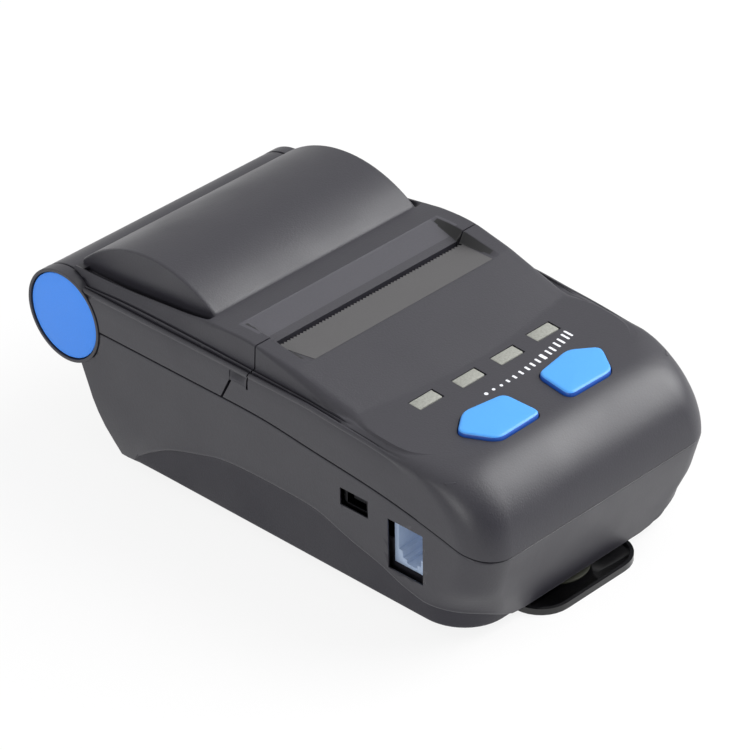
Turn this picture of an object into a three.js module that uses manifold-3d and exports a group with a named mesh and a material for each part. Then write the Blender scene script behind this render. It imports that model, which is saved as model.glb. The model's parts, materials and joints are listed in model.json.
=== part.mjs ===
// Portable receipt printer for 58 mm paper rolls, with a hinged paper cover and a belt clip.
// Millimetres. X runs across the printer, the button end faces -Y, the hinge end +Y, and Z is up.
// Sizes below are measured from the body's datum: middle of the width, the middle of the body's
// length near the paper slot, and the underside of the base. The last section moves the whole
// printer so that the group's origin is the bottom centre of its box.

import * as THREE from 'three';
import { mergeVertices } from 'three/addons/utils/BufferGeometryUtils.js';
import Module from 'manifold-3d';

const wasm = await Module();
wasm.setup();

// Clearances
const seam = 0.35; // between pieces that touch or meet at a joint line
const running = 0.25; // round shafts, pins and screws
const overrun = 1; // how far a cut runs past the face that it opens

// Widths, from the paper roll outwards; each is half of a width, measured from the middle
const rollHalf = 29; // half of the 58 mm roll
const frameSideGap = 0.1;
const frameSheet = 0.8;
const frameSideInner = rollHalf + frameSideGap;
const headSideGap = 1.5;
const headHalf = frameSideInner - headSideGap;
const bladeExtra = 0.3;
const bladeHalf = rollHalf + bladeExtra;
const bushProud = 0.1; // the bush stands out of frame and bracket at each end
const bushInner = frameSideInner - bushProud;
const platenEndGap = 0.4;
const platenHalf = bushInner - platenEndGap;
const earGap = 0.3;
const earThickness = 1;
const earInner = frameSideInner + frameSheet + earGap;
const bushOuter = earInner + earThickness + bushProud;
const gearWidth = 1.6;
const gearInner = bushOuter + seam;
const recessExtra = 1.3;
const recessHalf = rollHalf + recessExtra;
const hoodSideGap = 1.75; // gears to the outside of the hood
const hoodShoulder = gearInner + gearWidth + hoodSideGap; // top edge of the hood
const hoodLean = 1;
const hoodFoot = hoodShoulder + hoodLean; // where the hood leaves the rail
const railWidth = 2;
const sideHalf = hoodFoot + railWidth; // side walls
const baseLean = 2;
const baseHalf = sideHalf - baseLean; // underside
const knuckleWidth = 3.2;
const knuckleInner = hoodShoulder; // inner face of each round end of the base
const knuckleOuter = knuckleInner + knuckleWidth;
const barrelGap = 0.4;
const barrelHalf = knuckleInner - barrelGap;
const discSink = 0.2;
const discFace = knuckleOuter - discSink;
const domeSetback = 2.7;
const domeHalf = hoodShoulder - domeSetback;
const gutterRim = 0.6;
const gutterOuter = hoodShoulder - gutterRim; // gutter between dome and hood edge, outer side
const postSetback = 7.5;
const postX = sideHalf - postSetback;

// Casing, outer sizes
const wall = 2; // moulded wall
const skirtStep = 0.5; // skirt stands back from the wall above it
const noseReach = 78; // foremost point of the nose
const baseReach = 71.6; // front edge of the underside
const baseEdge = 1.2; // rounding along the underside
const noseLow = 22; // height of the foremost point
const noseLength = 16; // nose round, measured along Y
const noseHeight = 18; // nose round, measured along Z
const noseCorner = 12; // front corners, seen from above
const shoulderRound = 2.4; // long edges between the panel and the side walls
const rearCorner = 0.8; // rear corners, seen from above
const wallLean = 1.4; // the side walls stand in by this much at the underside
const wallRise = 12; // height where they are upright
const partingHeight = 32; // joint line between base and upper pieces, at the hinge end
const partingDrop = 10; // how far that line falls towards the nose
const railTop = 41.7; // top of the bead along the side walls
const panelSlope = 0.07; // the button panel falls this much per mm towards the nose
const panelRear = -40.2; // crease between the button panel and the hood

// Rear wall, seen from the side: a sweep from the underside up to below the hinge
const rearFoot = 33;
const rearTop = 48;
const rearTopZ = 21.4;
const rearBendShares = [[0.37, 0.037], [0.77, 0.467]]; // bends of the sweep, between its two ends

// Skirt: the lower part of the walls, under a crease that arches along each side
const skirtRise = 15; // the skirt leans out over this height
const creaseHeight = 15.4;
const creaseShares = [
  [0, 0], [0.13, 0.64], [0.31, 0.96], [0.51, 1], [0.65, 0.78], [0.8, 0.46], [0.9, 0.27], [1, -0.05],
];
const partingFlat = 9.4; // the joint line is level behind this place
const partingShares = [[0, 0], [0.23, 0.015], [0.41, 0.16], [0.64, 0.36], [0.82, 0.63], [1, 1]];

// Hinge at the rear end
const hingeY = 52.9;
const hingeZ = 31.7;
const barrelRadius = 11; // the cover's barrel
const knuckleRadius = 11.75; // the base's round ends beside the barrel
const barrelEndWall = 3;
const discRadius = 10.7; // blue end discs
const discThickness = 0.9;
const pinRadius = 2.4;
const pinHeadRadius = 4;
const pinHeadThickness = 0.7;

// Hood: the raised part with the paper slot, and the dome over the roll
const hoodRise = 6.75; // height of its top line over the panel crease
const domeFrontY = 8.1;
const domeFrontZ = 47.35;
const domeTopY = 29.2;
const domeTopZ = 54.1;
const domeRearZ = 45;
const hoodRear = 51.4; // rear edge of the hood, the dome and the side walls
const domeEdge = 0.9; // rounding of the dome's end edges
const gutterDepth = 0.8;
const grooveWidth = 0.9; // groove between the rail bead and the hood
const grooveDepth = 0.8;
const grooveFloorShare = 0.75;
const hoodTopRound = 1; // break of the hood's top edge
const topMargin = 0.05; // the nose's loft passes the panel by this much
const hoodEdgeShare = 0.9; // where the slope wall meets the top, as a share of the hood's rise
const gutterShare = 0.37; // floor of the gutter, as a share of the hood's rise
const hoodLineShares = [
  [0, 0], [0.149, 0.407], [0.232, 0.719], [0.297, 0.867], [0.352, 0.97], [0.454, 1], [0.518, 0.94],
  [0.588, 0.793], [0.694, 0.659], [0.8, 0.526], [0.926, 0.452], [1, 0.422],
];

// Paper slot and the tear recess round it
const slotY = -8.1;
const slotWidth = 1;
const recessRear = 1.4;
const recessFront = -19;
const recessFloor = 46.2;
const recessLean = 0.15; // the recess floor rises this much to its front ridge
const toothPitch = 1; // serrated tear edge
const toothHeight = 0.6;
const bladeThickness = 0.6;
const bladeDepth = 4.5;

// Cover's side joint, seen from the side
const jointFoot = 1.4; // where it leaves the long joint line
const tongueTop = 38; // tongue of the front casing under the finger notch
const tongueRear = -1.9;
const tongueFront = -6.6;
const notchTop = 40.4; // cover's lower edge over the finger notch
const jointTopY = -7.4; // the joint on the hood's side
const notchSheet = 1.5; // thickness of the wall behind the notch

// Paper roll and its tray
const rollRadius = 19;
const rollY = 19.5;
const rollZ = 30;
const trayGap = 1.1; // room between roll and tray
const trayWall = 1.2;
const trayFootY = 10;
const trayFootHalfGap = 20;
const trayFootWidth = 2;
const trayFromShare = 0.51; // rear edge of the trough, as a share of a full turn
const trayToShare = 0.935; // its front edge
const sensorSize = 4.2;

// Platen roller, carried by the cover
const platenY = -3.6;
const platenZ = 38.4;
const platenRadius = 4.8;
const shaftRadius = 1.5;
const bushRadius = 2.6;
const earRadius = 4.2;
const bracketFront = 1.7;
const bracketDepth = 2.9;
const bracketZ = 42.4;
const bracketThickness = 1.5;
const bracketScrewX = 20;
const bracketScrewLength = 4.7;

// Print mechanism
const frameFloorZ = 24.6;
const frameFront = -27;
const frameNose = -29.4; // front edge of the side plates, higher up
const frameRear = 1;
const frameFloorRear = -3;
const frameBackY = -16.2; // sheet behind the print head
const frameBackHalf = 26;
const frameTop = 42;
const notchLean = 0.6; // the bush's notch opens rearwards, the way the cover swings
const headGap = 0.3; // between print head and platen
const headThickness = 2.6;
const headLow = 31;
const headTop = 43.2;
const headSpringRadius = 2.2;
const headSpringX = headHalf / 2;
const headSpringZ = 37;
const headWire = 0.55;
const headTurns = 3;
const headStrip = 0.7; // heating strip on the head's face
const finCount = 6;
const finWidth = 1;
const finDepth = 1.2;
const framePostGap = 5.1;
const framePostX = frameSideInner - framePostGap;
const framePostY = -7.2;

// Gears: a pinion on the motor, an idler, and the gear on the platen shaft
const gearModule = 0.6;
const pinionTeeth = 8;
const idlerTeeth = 23;
const platenTeeth = 16;
const gearBacklash = 0.34; // taken off the width of each tooth
const toothTipShare = 0.85; // of the module
const toothRootShare = 1.15; // of the module
const toothTipWidthShare = 0.13; // half width at the tip, of the angle between teeth
const toothRootWidthShare = 0.33; // half width at the root
const axleRadius = 1.2;
const axleHeadRadius = 1.7;
const spindleRadius = 0.95;
const motorRadius = 7.5;
const motorLength = 15;
const motorFlange = 6; // half width of its square flange
const motorZ = 34;
const motorInner = 12.4;

// Main board, battery and sockets
const boardZ = 24.8;
const boardThickness = 1.6;
const boardRear = -29.4;
const boardGap = 1.6; // board edge to the inner wall
const boardFrontGap = 2.6; // the same at the nose
const postRadius = 2.8;
const postFrontGap = 14;
const postFrontY = postFrontGap - noseReach;
const postRearY = -32;
const batterySideGap = 1.1;
const batteryFrontGap = 4;
const batteryWidth = 45.6;
const batteryRight = postX - postRadius - batterySideGap;
const batteryLeft = batteryRight - batteryWidth;
const batteryFront = batteryFrontGap - baseReach;
const batteryRear = -31.4;
const batteryHeight = 18.2;
const batteryRound = 8.2;
const batteryEdge = 1;
const radioX = 8;
const radioY = -41.5;
const radioWidth = 14;
const radioLength = 10.5;
const radioHeight = 2.4;
const buzzerRadius = 4.5;
const buzzerHeight = 5;
const buzzerX = 26;
const buzzerY = -50;
const usbY = -39.2;
const usbZ = 22.45;
const usbWidth = 7.7;
const usbHeight = 3.9;
const usbDepth = 8.6;
const usbSheet = 0.5;
const jackY = -54.4;
const jackLow = 10.7;
const jackHigh = 23;
const jackWidth = 9.6;
const jackDepth = 13;
const jackWall = 1.1;
const jackKeyway = 1.5; // half width of the keyway in its floor
const jackRibHeight = 4; // the guide ribs stand this far above its underside
const portRim = 0.45; // room round a socket in its opening
const portSetback = 1; // socket mouths stand behind the outer wall face

// Buttons, switches and light windows
const buttonInnerX = 4.5;
const buttonOuterX = 23.6;
const buttonRearY = -51.9;
const buttonFrontY = -64.2;
const buttonRound = 1.6;
const buttonProud = 1.1; // button top over the panel
const buttonThickness = 3.4;
const buttonShares = [[0, 0.02], [0.74, 0], [1, 0.63], [0.66, 1], [0.05, 0.86]]; // corners, in its box
const crownDrop = 0.5; // the cap's top falls this much to its ends
const buttonTravel = 0.8;
const buttonStem = 1.6;
const buttonLip = 1; // retaining lip under the panel
const lipThickness = 0.8;
const switchSize = 6;
const switchHeight = 3.4;
const plungerRadius = 1.7;
const plungerDepth = 1.4;
const windowPitch = 12.7;
const windowShares = [-1.5, -0.5, 0.5, 1.5]; // places along X, in pitches
const windowWidth = 7.3;
const windowDepth = 3.2;
const windowY = -43.2;
const windowArc = 1.4; // inner windows lie this much further forward
const windowThickness = 2.6;
const pipeWidth = 3;
const pipeDepth = 1.8;

// Belt clip
const clipHalf = 17.6;
const clipReach = 76.2; // tip of its tab
const clipDrop = 2.7; // its underside under the base
const clipSheet = 0.9;
const clipFlange = 1.6; // height of the turned-up rim
const clipRimWidth = 0.9;
const clipCorner = 8;
const clipPivotY = 2;
const clipPivotZ = 1.3;
const clipKnuckle = 1.6;
const clipPinRadius = 0.8;
const clipEarInner = 11;
const clipEarWidth = 2.4;
const pocketHalf = 18.6;
const pocketDepth = 3.2;
const pocketFront = -1;
const pocketRear = 4.6;
const clipLugWidth = 2.2;
const padRadius = 8.5;
const padThickness = 0.5;
const padBed = 0.07; // glue under the pad
const padY = -63.2;
const clipSpringRadius = 1.25;
const clipWire = 0.6;
const clipSpringTurns = 7;
const springPitch = 1.05;

// Fasteners
const screwRadius = 1;
const screwHeadRadius = 1.9;
const screwHeadHeight = 1.3;
const screwSlot = 0.5;
const bossWall = 1.3;
const caseHeadZ = 1.2; // case screw heads stand in from the underside
const caseScrewLength = 32;
const frameScrewLength = 9.3;
const crossArmShare = 0.65; // arms of the cross recess, of the head's radius

// Steps round a full turn, and along curves
const screwSides = 12;
const pinSides = 16;
const rodSides = 20;
const wheelSides = 24;
const rollerSides = 32;
const hingeSides = 48;
const crownSides = 160;
const springSteps = 8;
const springSides = 5;
const frontSteps = 6;
const rearSteps = 3;
const rearStations = 8;
const noseAngles = 9;
const noseSpacingShare = 0.85; // crowds the nose's levels towards its lower part
const domeSteps = 20;
const traySteps = 18;
const curveSteps = 8;
const cornerSteps = 4;
const bevelSteps = 2;
const splineSteps = 3;

// Helpers: meshes to solids and back

function solid(geometry) {
  const bare = geometry.clone();
  bare.deleteAttribute('normal');
  bare.deleteAttribute('uv');
  const merged = mergeVertices(bare);
  const body = new wasm.Manifold(new wasm.Mesh({
    numProp: 3,
    vertProperties: new Float32Array(merged.attributes.position.array),
    triVerts: new Uint32Array(merged.index.array),
  }));
  return body;
}

function geometryOf(body) {
  const mesh = body.getMesh();
  const geometry = new THREE.BufferGeometry();
  geometry.setAttribute('position', new THREE.BufferAttribute(new Float32Array(mesh.vertProperties), 3));
  geometry.setIndex(new THREE.BufferAttribute(new Uint32Array(mesh.triVerts), 1));
  geometry.computeVertexNormals();
  return geometry;
}

const union = (first, ...rest) => rest.reduce((sum, next) => sum.add(next), first);
const cut = (first, ...rest) => rest.reduce((left, next) => left.subtract(next), first);

// Prisms: an outline in one plane, carried along the third axis
const alongX = new THREE.Matrix4().set(0, 0, 1, 0, 1, 0, 0, 0, 0, 1, 0, 0, 0, 0, 0, 1);
const alongY = new THREE.Matrix4().set(1, 0, 0, 0, 0, 0, -1, 0, 0, 1, 0, 0, 0, 0, 0, 1);

const outline = (points) => new THREE.Shape(points.map(([a, b]) => new THREE.Vector2(a, b)));

function prism(shape, start, end, matrix, bevel = 0, curveSegments = curveSteps) {
  const geometry = new THREE.ExtrudeGeometry(shape, {
    depth: end - start - 2 * bevel,
    bevelEnabled: bevel > 0,
    bevelThickness: bevel,
    bevelSize: bevel,
    bevelOffset: -bevel,
    bevelSegments: bevelSteps,
    curveSegments,
    steps: 1,
  });
  geometry.translate(0, 0, start + bevel);
  if (matrix) geometry.applyMatrix4(matrix);
  return solid(geometry);
}

const prismX = (shape, x0, x1, bevel, segments) => prism(shape, x0, x1, alongX, bevel, segments);
const prismY = (shape, y0, y1, bevel, segments) => prism(shape, -y1, -y0, alongY, bevel, segments);
const prismZ = (shape, z0, z1, bevel, segments) => prism(shape, z0, z1, null, bevel, segments);

function box(x0, x1, y0, y1, z0, z1) {
  const geometry = new THREE.BoxGeometry(x1 - x0, y1 - y0, z1 - z0);
  geometry.translate((x0 + x1) / 2, (y0 + y1) / 2, (z0 + z1) / 2);
  return solid(geometry);
}

function rodX(radius, x0, x1, y, z, sides = rollerSides) {
  const geometry = new THREE.CylinderGeometry(radius, radius, x1 - x0, sides);
  geometry.rotateZ(-Math.PI / 2);
  geometry.translate((x0 + x1) / 2, y, z);
  return solid(geometry);
}

function rodZ(radius, z0, z1, x, y, sides = rodSides) {
  const geometry = new THREE.CylinderGeometry(radius, radius, z1 - z0, sides);
  geometry.rotateX(Math.PI / 2);
  geometry.translate(x, y, (z0 + z1) / 2);
  return solid(geometry);
}

// A piece at one side of the middle, between two distances from it
function onSide(side, from, to, make) {
  const x0 = side * from;
  const x1 = side * to;
  return make(Math.min(x0, x1), Math.max(x0, x1));
}

// A rod on the cover's hinge line, at one side
const hingeRod = (radius, side, from, to) => onSide(side, from, to, (x0, x1) => (
  rodX(radius, x0, x1, hingeY, hingeZ, radius > pinHeadRadius + running ? hingeSides : wheelSides)
));

function roundedRect(a0, a1, b0, b1, radius) {
  const shape = new THREE.Shape();
  shape.moveTo(a0 + radius, b0);
  shape.absarc(a1 - radius, b0 + radius, radius, -Math.PI / 2, 0);
  shape.absarc(a1 - radius, b1 - radius, radius, 0, Math.PI / 2);
  shape.absarc(a0 + radius, b1 - radius, radius, Math.PI / 2, Math.PI);
  shape.absarc(a0 + radius, b0 + radius, radius, Math.PI, Math.PI * 1.5);
  return shape;
}

// A polygon with every corner rounded to the same radius
function roundedPolygon(points, radius) {
  const shape = new THREE.Shape();
  points.forEach((point, index) => {
    const corner = new THREE.Vector2(...point);
    const before = new THREE.Vector2(...points[(index + points.length - 1) % points.length]);
    const after = new THREE.Vector2(...points[(index + 1) % points.length]);
    const from = before.sub(corner).setLength(radius).add(corner);
    const to = after.sub(corner).setLength(radius).add(corner);
    if (index === 0) shape.moveTo(from.x, from.y);
    else shape.lineTo(from.x, from.y);
    shape.quadraticCurveTo(corner.x, corner.y, to.x, to.y);
  });
  shape.closePath();
  return shape;
}

// Loft: rounded outlines, seen from above, joined level by level
function ringOf(level) {
  const points = [];
  const arc = (cx, cy, radius, from, steps) => {
    for (let step = 0; step <= steps; step += 1) {
      const angle = from + (Math.PI / 2) * (step / steps);
      const y = cy + radius * Math.sin(angle);
      const z = level.z + (level.slope || 0) * (y - level.front);
      points.push(new THREE.Vector3(cx + radius * Math.cos(angle), y, z));
    }
  };
  const frontX = level.half - level.corner;
  const rearX = level.half - rearCorner;
  arc(frontX, level.front + level.corner, level.corner, -Math.PI / 2, frontSteps);
  arc(rearX, level.rear - rearCorner, rearCorner, 0, rearSteps);
  arc(-rearX, level.rear - rearCorner, rearCorner, Math.PI / 2, rearSteps);
  arc(-frontX, level.front + level.corner, level.corner, Math.PI, frontSteps);
  return points;
}

function loft(levels) {
  const rings = levels.map(ringOf);
  const count = rings[0].length;
  const positions = rings.flat().flatMap((point) => [point.x, point.y, point.z]);
  const index = [];
  for (let level = 0; level < rings.length - 1; level += 1) {
    for (let side = 0; side < count; side += 1) {
      const a = level * count + side;
      const b = level * count + ((side + 1) % count);
      index.push(a, b, b + count, a, b + count, a + count);
    }
  }
  const top = (rings.length - 1) * count;
  for (let side = 1; side < count - 1; side += 1) {
    index.push(0, side + 1, side, top, top + side, top + side + 1);
  }
  const geometry = new THREE.BufferGeometry();
  geometry.setAttribute('position', new THREE.Float32BufferAttribute(positions, 3));
  geometry.setIndex(index);
  return solid(geometry);
}

// A coil spring along X as one unbroken tube of 8 steps a turn and 5 sides
class Helix extends THREE.Curve {
  constructor(radius, pitch, turns) {
    super();
    this.radius = radius;
    this.pitch = pitch;
    this.turns = turns;
  }

  getPoint(t, target = new THREE.Vector3()) {
    const angle = t * this.turns * Math.PI * 2;
    return target.set(
      (t - 1 / 2) * this.turns * this.pitch,
      this.radius * Math.cos(angle),
      this.radius * Math.sin(angle),
    );
  }
}

function coilSpring(radius, wire, pitch, turns) {
  const section = new THREE.Shape();
  for (let side = 0; side < springSides; side += 1) {
    const angle = (side / springSides) * Math.PI * 2;
    const x = (wire / 2) * Math.cos(angle);
    const y = (wire / 2) * Math.sin(angle);
    if (side === 0) section.moveTo(x, y);
    else section.lineTo(x, y);
  }
  section.closePath();
  const geometry = new THREE.ExtrudeGeometry(section, {
    steps: springSteps * turns,
    bevelEnabled: false,
    extrudePath: new Helix(radius, pitch, turns),
  });
  return solid(geometry);
}

// Screw along Z: head downwards at the given height, with a cross recess
function screwBody(x, y, headZ, length, up = 1) {
  const tipZ = headZ + up * length;
  const neckZ = headZ + up * screwHeadHeight;
  const head = rodZ(screwHeadRadius, Math.min(headZ, neckZ), Math.max(headZ, neckZ), x, y, pinSides);
  const shank = rodZ(screwRadius, Math.min(headZ, tipZ), Math.max(headZ, tipZ), x, y, screwSides);
  const arm = screwHeadRadius * crossArmShare;
  const depth = (up * screwHeadHeight) / 2;
  const z0 = Math.min(headZ - up * overrun, headZ + depth);
  const z1 = Math.max(headZ - up * overrun, headZ + depth);
  const cross = union(
    box(x - arm, x + arm, y - screwSlot / 2, y + screwSlot / 2, z0, z1),
    box(x - screwSlot / 2, x + screwSlot / 2, y - arm, y + arm, z0, z1),
  );
  return cut(union(head, shank), cross);
}

// Casing envelopes

const datumHigh = railTop + hoodRise * 2; // above everything
const farFront = noseReach + noseLength;
const farRear = hingeY + knuckleRadius * 2;

// Rear wall, seen from the side: an arc-like sweep from the underside to below the hinge

function rearCurve() {
  const points = [[0, 0], ...rearBendShares, [1, 1]].map(([a, b]) => (
    new THREE.Vector2(rearFoot + a * (rearTop - rearFoot), b * rearTopZ)
  ));
  return new THREE.CubicBezierCurve(...points);
}

// Base envelope: the front leans out to the nose and the rear follows the sweep

function baseLevels(inset, half, frontStep) {
  const curve = rearCurve();
  const levels = [];
  const frontAt = (z) => -(baseReach + (noseReach - baseReach) * Math.min(z / noseLow, 1)) + frontStep;
  const cornerAt = (z) => noseCorner - inset - 2 * (1 - Math.min(z / noseLow, 1));
  for (let station = 0; station <= rearStations; station += 1) {
    const point = curve.getPoint(station / rearStations);
    const z = point.y;
    const edge = baseEdge * Math.max(0, 1 - z / baseEdge);
    levels.push({
      z: z + inset * (1 - Math.min(z / rearTopZ, 1)),
      half: half(z) - inset - edge,
      front: frontAt(z) + inset + edge,
      rear: point.x - inset - edge,
      corner: cornerAt(z),
    });
  }
  levels.push({
    z: noseLow + baseEdge,
    half: half(noseLow) - inset,
    front: frontAt(noseLow) + inset,
    rear: rearTop - inset,
    corner: cornerAt(noseLow),
  });
  levels.push({
    z: partingHeight + overrun * 2,
    half: half(noseLow) - inset,
    front: frontAt(noseLow) + inset,
    rear: hoodRear - inset,
    corner: cornerAt(noseLow),
  });
  return levels;
}

const skirtHalf = (z) => baseHalf + (sideHalf - skirtStep - baseHalf) * Math.min(z / skirtRise, 1);
const wallHalf = (z) => sideHalf - wallLean * (1 - Math.min(z / wallRise, 1)) ** 2;

// Crease between skirt and wall, seen from the side

function aboveCrease() {
  const shape = new THREE.Shape();
  shape.moveTo(farRear, 0);
  const points = creaseShares.map(([a, b]) => (
    new THREE.Vector2(rearFoot - a * (rearFoot + noseReach), b * creaseHeight)
  ));
  shape.lineTo(points[0].x, points[0].y);
  shape.splineThru(points.slice(1));
  shape.lineTo(-farFront, -overrun);
  shape.lineTo(-farFront, datumHigh);
  shape.lineTo(farRear, datumHigh);
  shape.closePath();
  return prismX(shape, -sideHalf - overrun, sideHalf + overrun, 0, splineSteps);
}

// Long joint line between the base and the pieces above it, falling towards the nose

function partingPoints(offset) {
  return partingShares.map(([a, b]) => (
    new THREE.Vector2(partingFlat - a * (partingFlat + noseReach), partingHeight - b * partingDrop + offset)
  ));
}

function partingPrism(offset, upwards) {
  const points = partingPoints(offset);
  const shape = new THREE.Shape();
  const far = upwards ? datumHigh : -overrun;
  shape.moveTo(farRear, far);
  shape.lineTo(farRear, points[0].y);
  shape.lineTo(points[0].x, points[0].y);
  shape.splineThru(points.slice(1));
  shape.lineTo(-farFront, points[points.length - 1].y);
  shape.lineTo(-farFront, far);
  shape.closePath();
  return prismX(shape, -knuckleOuter - overrun, knuckleOuter + overrun, 0, splineSteps);
}

// Upper envelope, cut from three outlines: across, from the side, and the nose from above
function crossOutline(inset) {
  const low = noseLow - noseHeight / 2;
  const right = inset > 0
    ? [
      [sideHalf - inset, low],
      [sideHalf - inset, railTop - inset],
      [hoodFoot - inset, railTop - inset / 2],
      [hoodShoulder - inset, railTop + hoodRise * hoodEdgeShare],
      [hoodShoulder - inset - hoodTopRound, datumHigh],
    ]
    : [
      [sideHalf, low],
      [sideHalf, railTop - grooveDepth],
      [sideHalf - grooveDepth, railTop],
      [hoodFoot + grooveWidth, railTop],
      [hoodFoot + grooveWidth * grooveFloorShare, railTop - grooveDepth],
      [hoodFoot, railTop - grooveDepth],
      [hoodFoot, railTop + grooveWidth],
      [hoodShoulder, railTop + hoodRise * hoodEdgeShare],
      [hoodShoulder - hoodTopRound, railTop + hoodRise],
      [hoodShoulder - hoodTopRound, datumHigh],
    ];
  const left = right.map(([x, z]) => [-x, z]).reverse();
  return outline([...right, ...left]);
}
const panelAt = (y) => noseLow + noseHeight + panelSlope * (y + noseReach - noseLength);

function sideOutline(inset) {
  const length = hoodRear - panelRear;
  const base = panelAt(panelRear);
  const low = noseLow - noseHeight / 2;
  const top = hoodLineShares.map(([a, b]) => [panelRear + a * length, base + b * hoodRise - inset]);
  return outline([
    [-farFront, low],
    [-farFront, panelAt(-farFront) - inset],
    ...top,
    [farRear, top[top.length - 1][1]],
    [farRear, low],
  ]);
}


function noseLevels(inset) {
  const height = noseHeight - inset;
  const length = noseLength - inset;
  const middle = -(noseReach - noseLength);
  const round = shoulderRound;
  const levels = [{ z: noseLow - noseHeight / 2, half: sideHalf - inset, front: -noseReach + inset }];
  for (let step = 0; step <= noseAngles; step += 1) {
    const angle = (Math.PI / 2) * (step / noseAngles) ** noseSpacingShare;
    const rise = height * Math.sin(angle);
    const over = Math.max(0, rise - height + round) / round;
    levels.push({
      z: noseLow + rise + (step === noseAngles ? topMargin : 0),
      half: sideHalf - inset - round * (1 - Math.sqrt(Math.max(0, 1 - over * over))),
      front: middle - length * Math.cos(angle),
      slope: panelSlope * Math.sin(angle) ** 2,
    });
  }
  return levels.map((level) => ({ ...level, rear: farRear, corner: noseCorner - inset }));
}

function upperEnvelope(inset, withNose) {
  const across = prismY(crossOutline(inset), -farFront, farRear);
  const side = prismX(sideOutline(inset), -sideHalf - overrun, sideHalf + overrun);
  const body = across.intersect(side);
  if (!withNose) return body;
  const behindNose = box(
    -sideHalf - overrun, sideHalf + overrun, panelRear + inset, farRear, noseLow - noseHeight / 2, datumHigh,
  );
  return body.intersect(union(loft(noseLevels(inset)), behindNose));
}

// Tear recess: the shallow valley round the paper slot
function recessPrism(drop, half) {
  const shape = outline([
    [recessRear + drop / 2, panelAt(panelRear) + hoodRise - drop],
    [slotY + slotWidth / 2, recessFloor - drop],
    [slotY - slotWidth / 2, recessFloor - drop],
    [recessFront - drop / 2, recessFloor + recessLean - drop],
    [recessFront - drop / 2, datumHigh],
    [recessRear + drop / 2, datumHigh],
  ]);
  return prismX(shape, -half, half);
}

// Joint between cover and front casing, seen from the side; side is +1 for the cover
function jointOutline(side) {
  const gap = (side * seam) / 2;
  const slotEdge = slotY + (side * slotWidth) / 2;
  const notch = side > 0 ? notchTop : tongueTop;
  const notchRear = tongueRear + gap;
  const notchFront = tongueFront + gap - (side > 0 ? grooveDepth : 0);
  const path = [
    [jointFoot + gap, partingHeight - overrun * 2],
    [jointFoot + gap, partingHeight],
    [notchRear, tongueTop],
    [notchRear, notch],
    [notchFront, notch],
    [notchFront - (side > 0 ? 0 : grooveDepth), notchTop],
    [jointTopY + gap, railTop],
    [slotEdge - gap, recessFloor - wall - overrun],
    [slotEdge - gap, recessFloor + recessLean],
    [jointTopY + gap, datumHigh],
  ];
  const far = side > 0 ? farRear : -farFront;
  const low = noseLow - noseHeight / 2;
  return outline([...path, [far, datumHigh], [far, low], [jointFoot + gap, low]]);
}

// Dome over the paper roll, an arc through three points seen from the side
function circleThrough(a, b, c) {
  const d = 2 * (a.x * (b.y - c.y) + b.x * (c.y - a.y) + c.x * (a.y - b.y));
  const ux = (a.lengthSq() * (b.y - c.y) + b.lengthSq() * (c.y - a.y) + c.lengthSq() * (a.y - b.y)) / d;
  const uy = (a.lengthSq() * (c.x - b.x) + b.lengthSq() * (a.x - c.x) + c.lengthSq() * (b.x - a.x)) / d;
  const centre = new THREE.Vector2(ux, uy);
  return { centre, radius: centre.distanceTo(a) };
}

const domeFrontPoint = new THREE.Vector2(domeFrontY, domeFrontZ);
const domeRearPoint = new THREE.Vector2(hoodRear, domeRearZ);
const domeTopPoint = new THREE.Vector2(domeTopY, domeTopZ);
const dome = circleThrough(domeFrontPoint, domeTopPoint, domeRearPoint);

function domeShape(inset) {
  const low = railTop - wall;
  const shape = new THREE.Shape();
  const start = domeRearPoint.clone().sub(dome.centre).angle();
  const end = domeFrontPoint.clone().sub(dome.centre).angle();
  const radius = dome.radius - inset;
  shape.moveTo(dome.centre.x + radius * Math.cos(end), low);
  shape.lineTo(dome.centre.x + radius * Math.cos(start), low);
  shape.absarc(dome.centre.x, dome.centre.y, radius, start, end);
  return shape;
}

// Base: bottom shell with knuckles, posts and the clip's hinge pocket

const boardTop = boardZ + boardThickness;
const postSpots = [-1, 1].flatMap((side) => [[side * postX, postFrontY], [side * postX, postRearY]]);
const frameSpots = [[-framePostX, framePostY], [framePostX, framePostY]];
const frameScrewHead = frameFloorZ + frameSheet + seam / 2 + screwHeadHeight;

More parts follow.
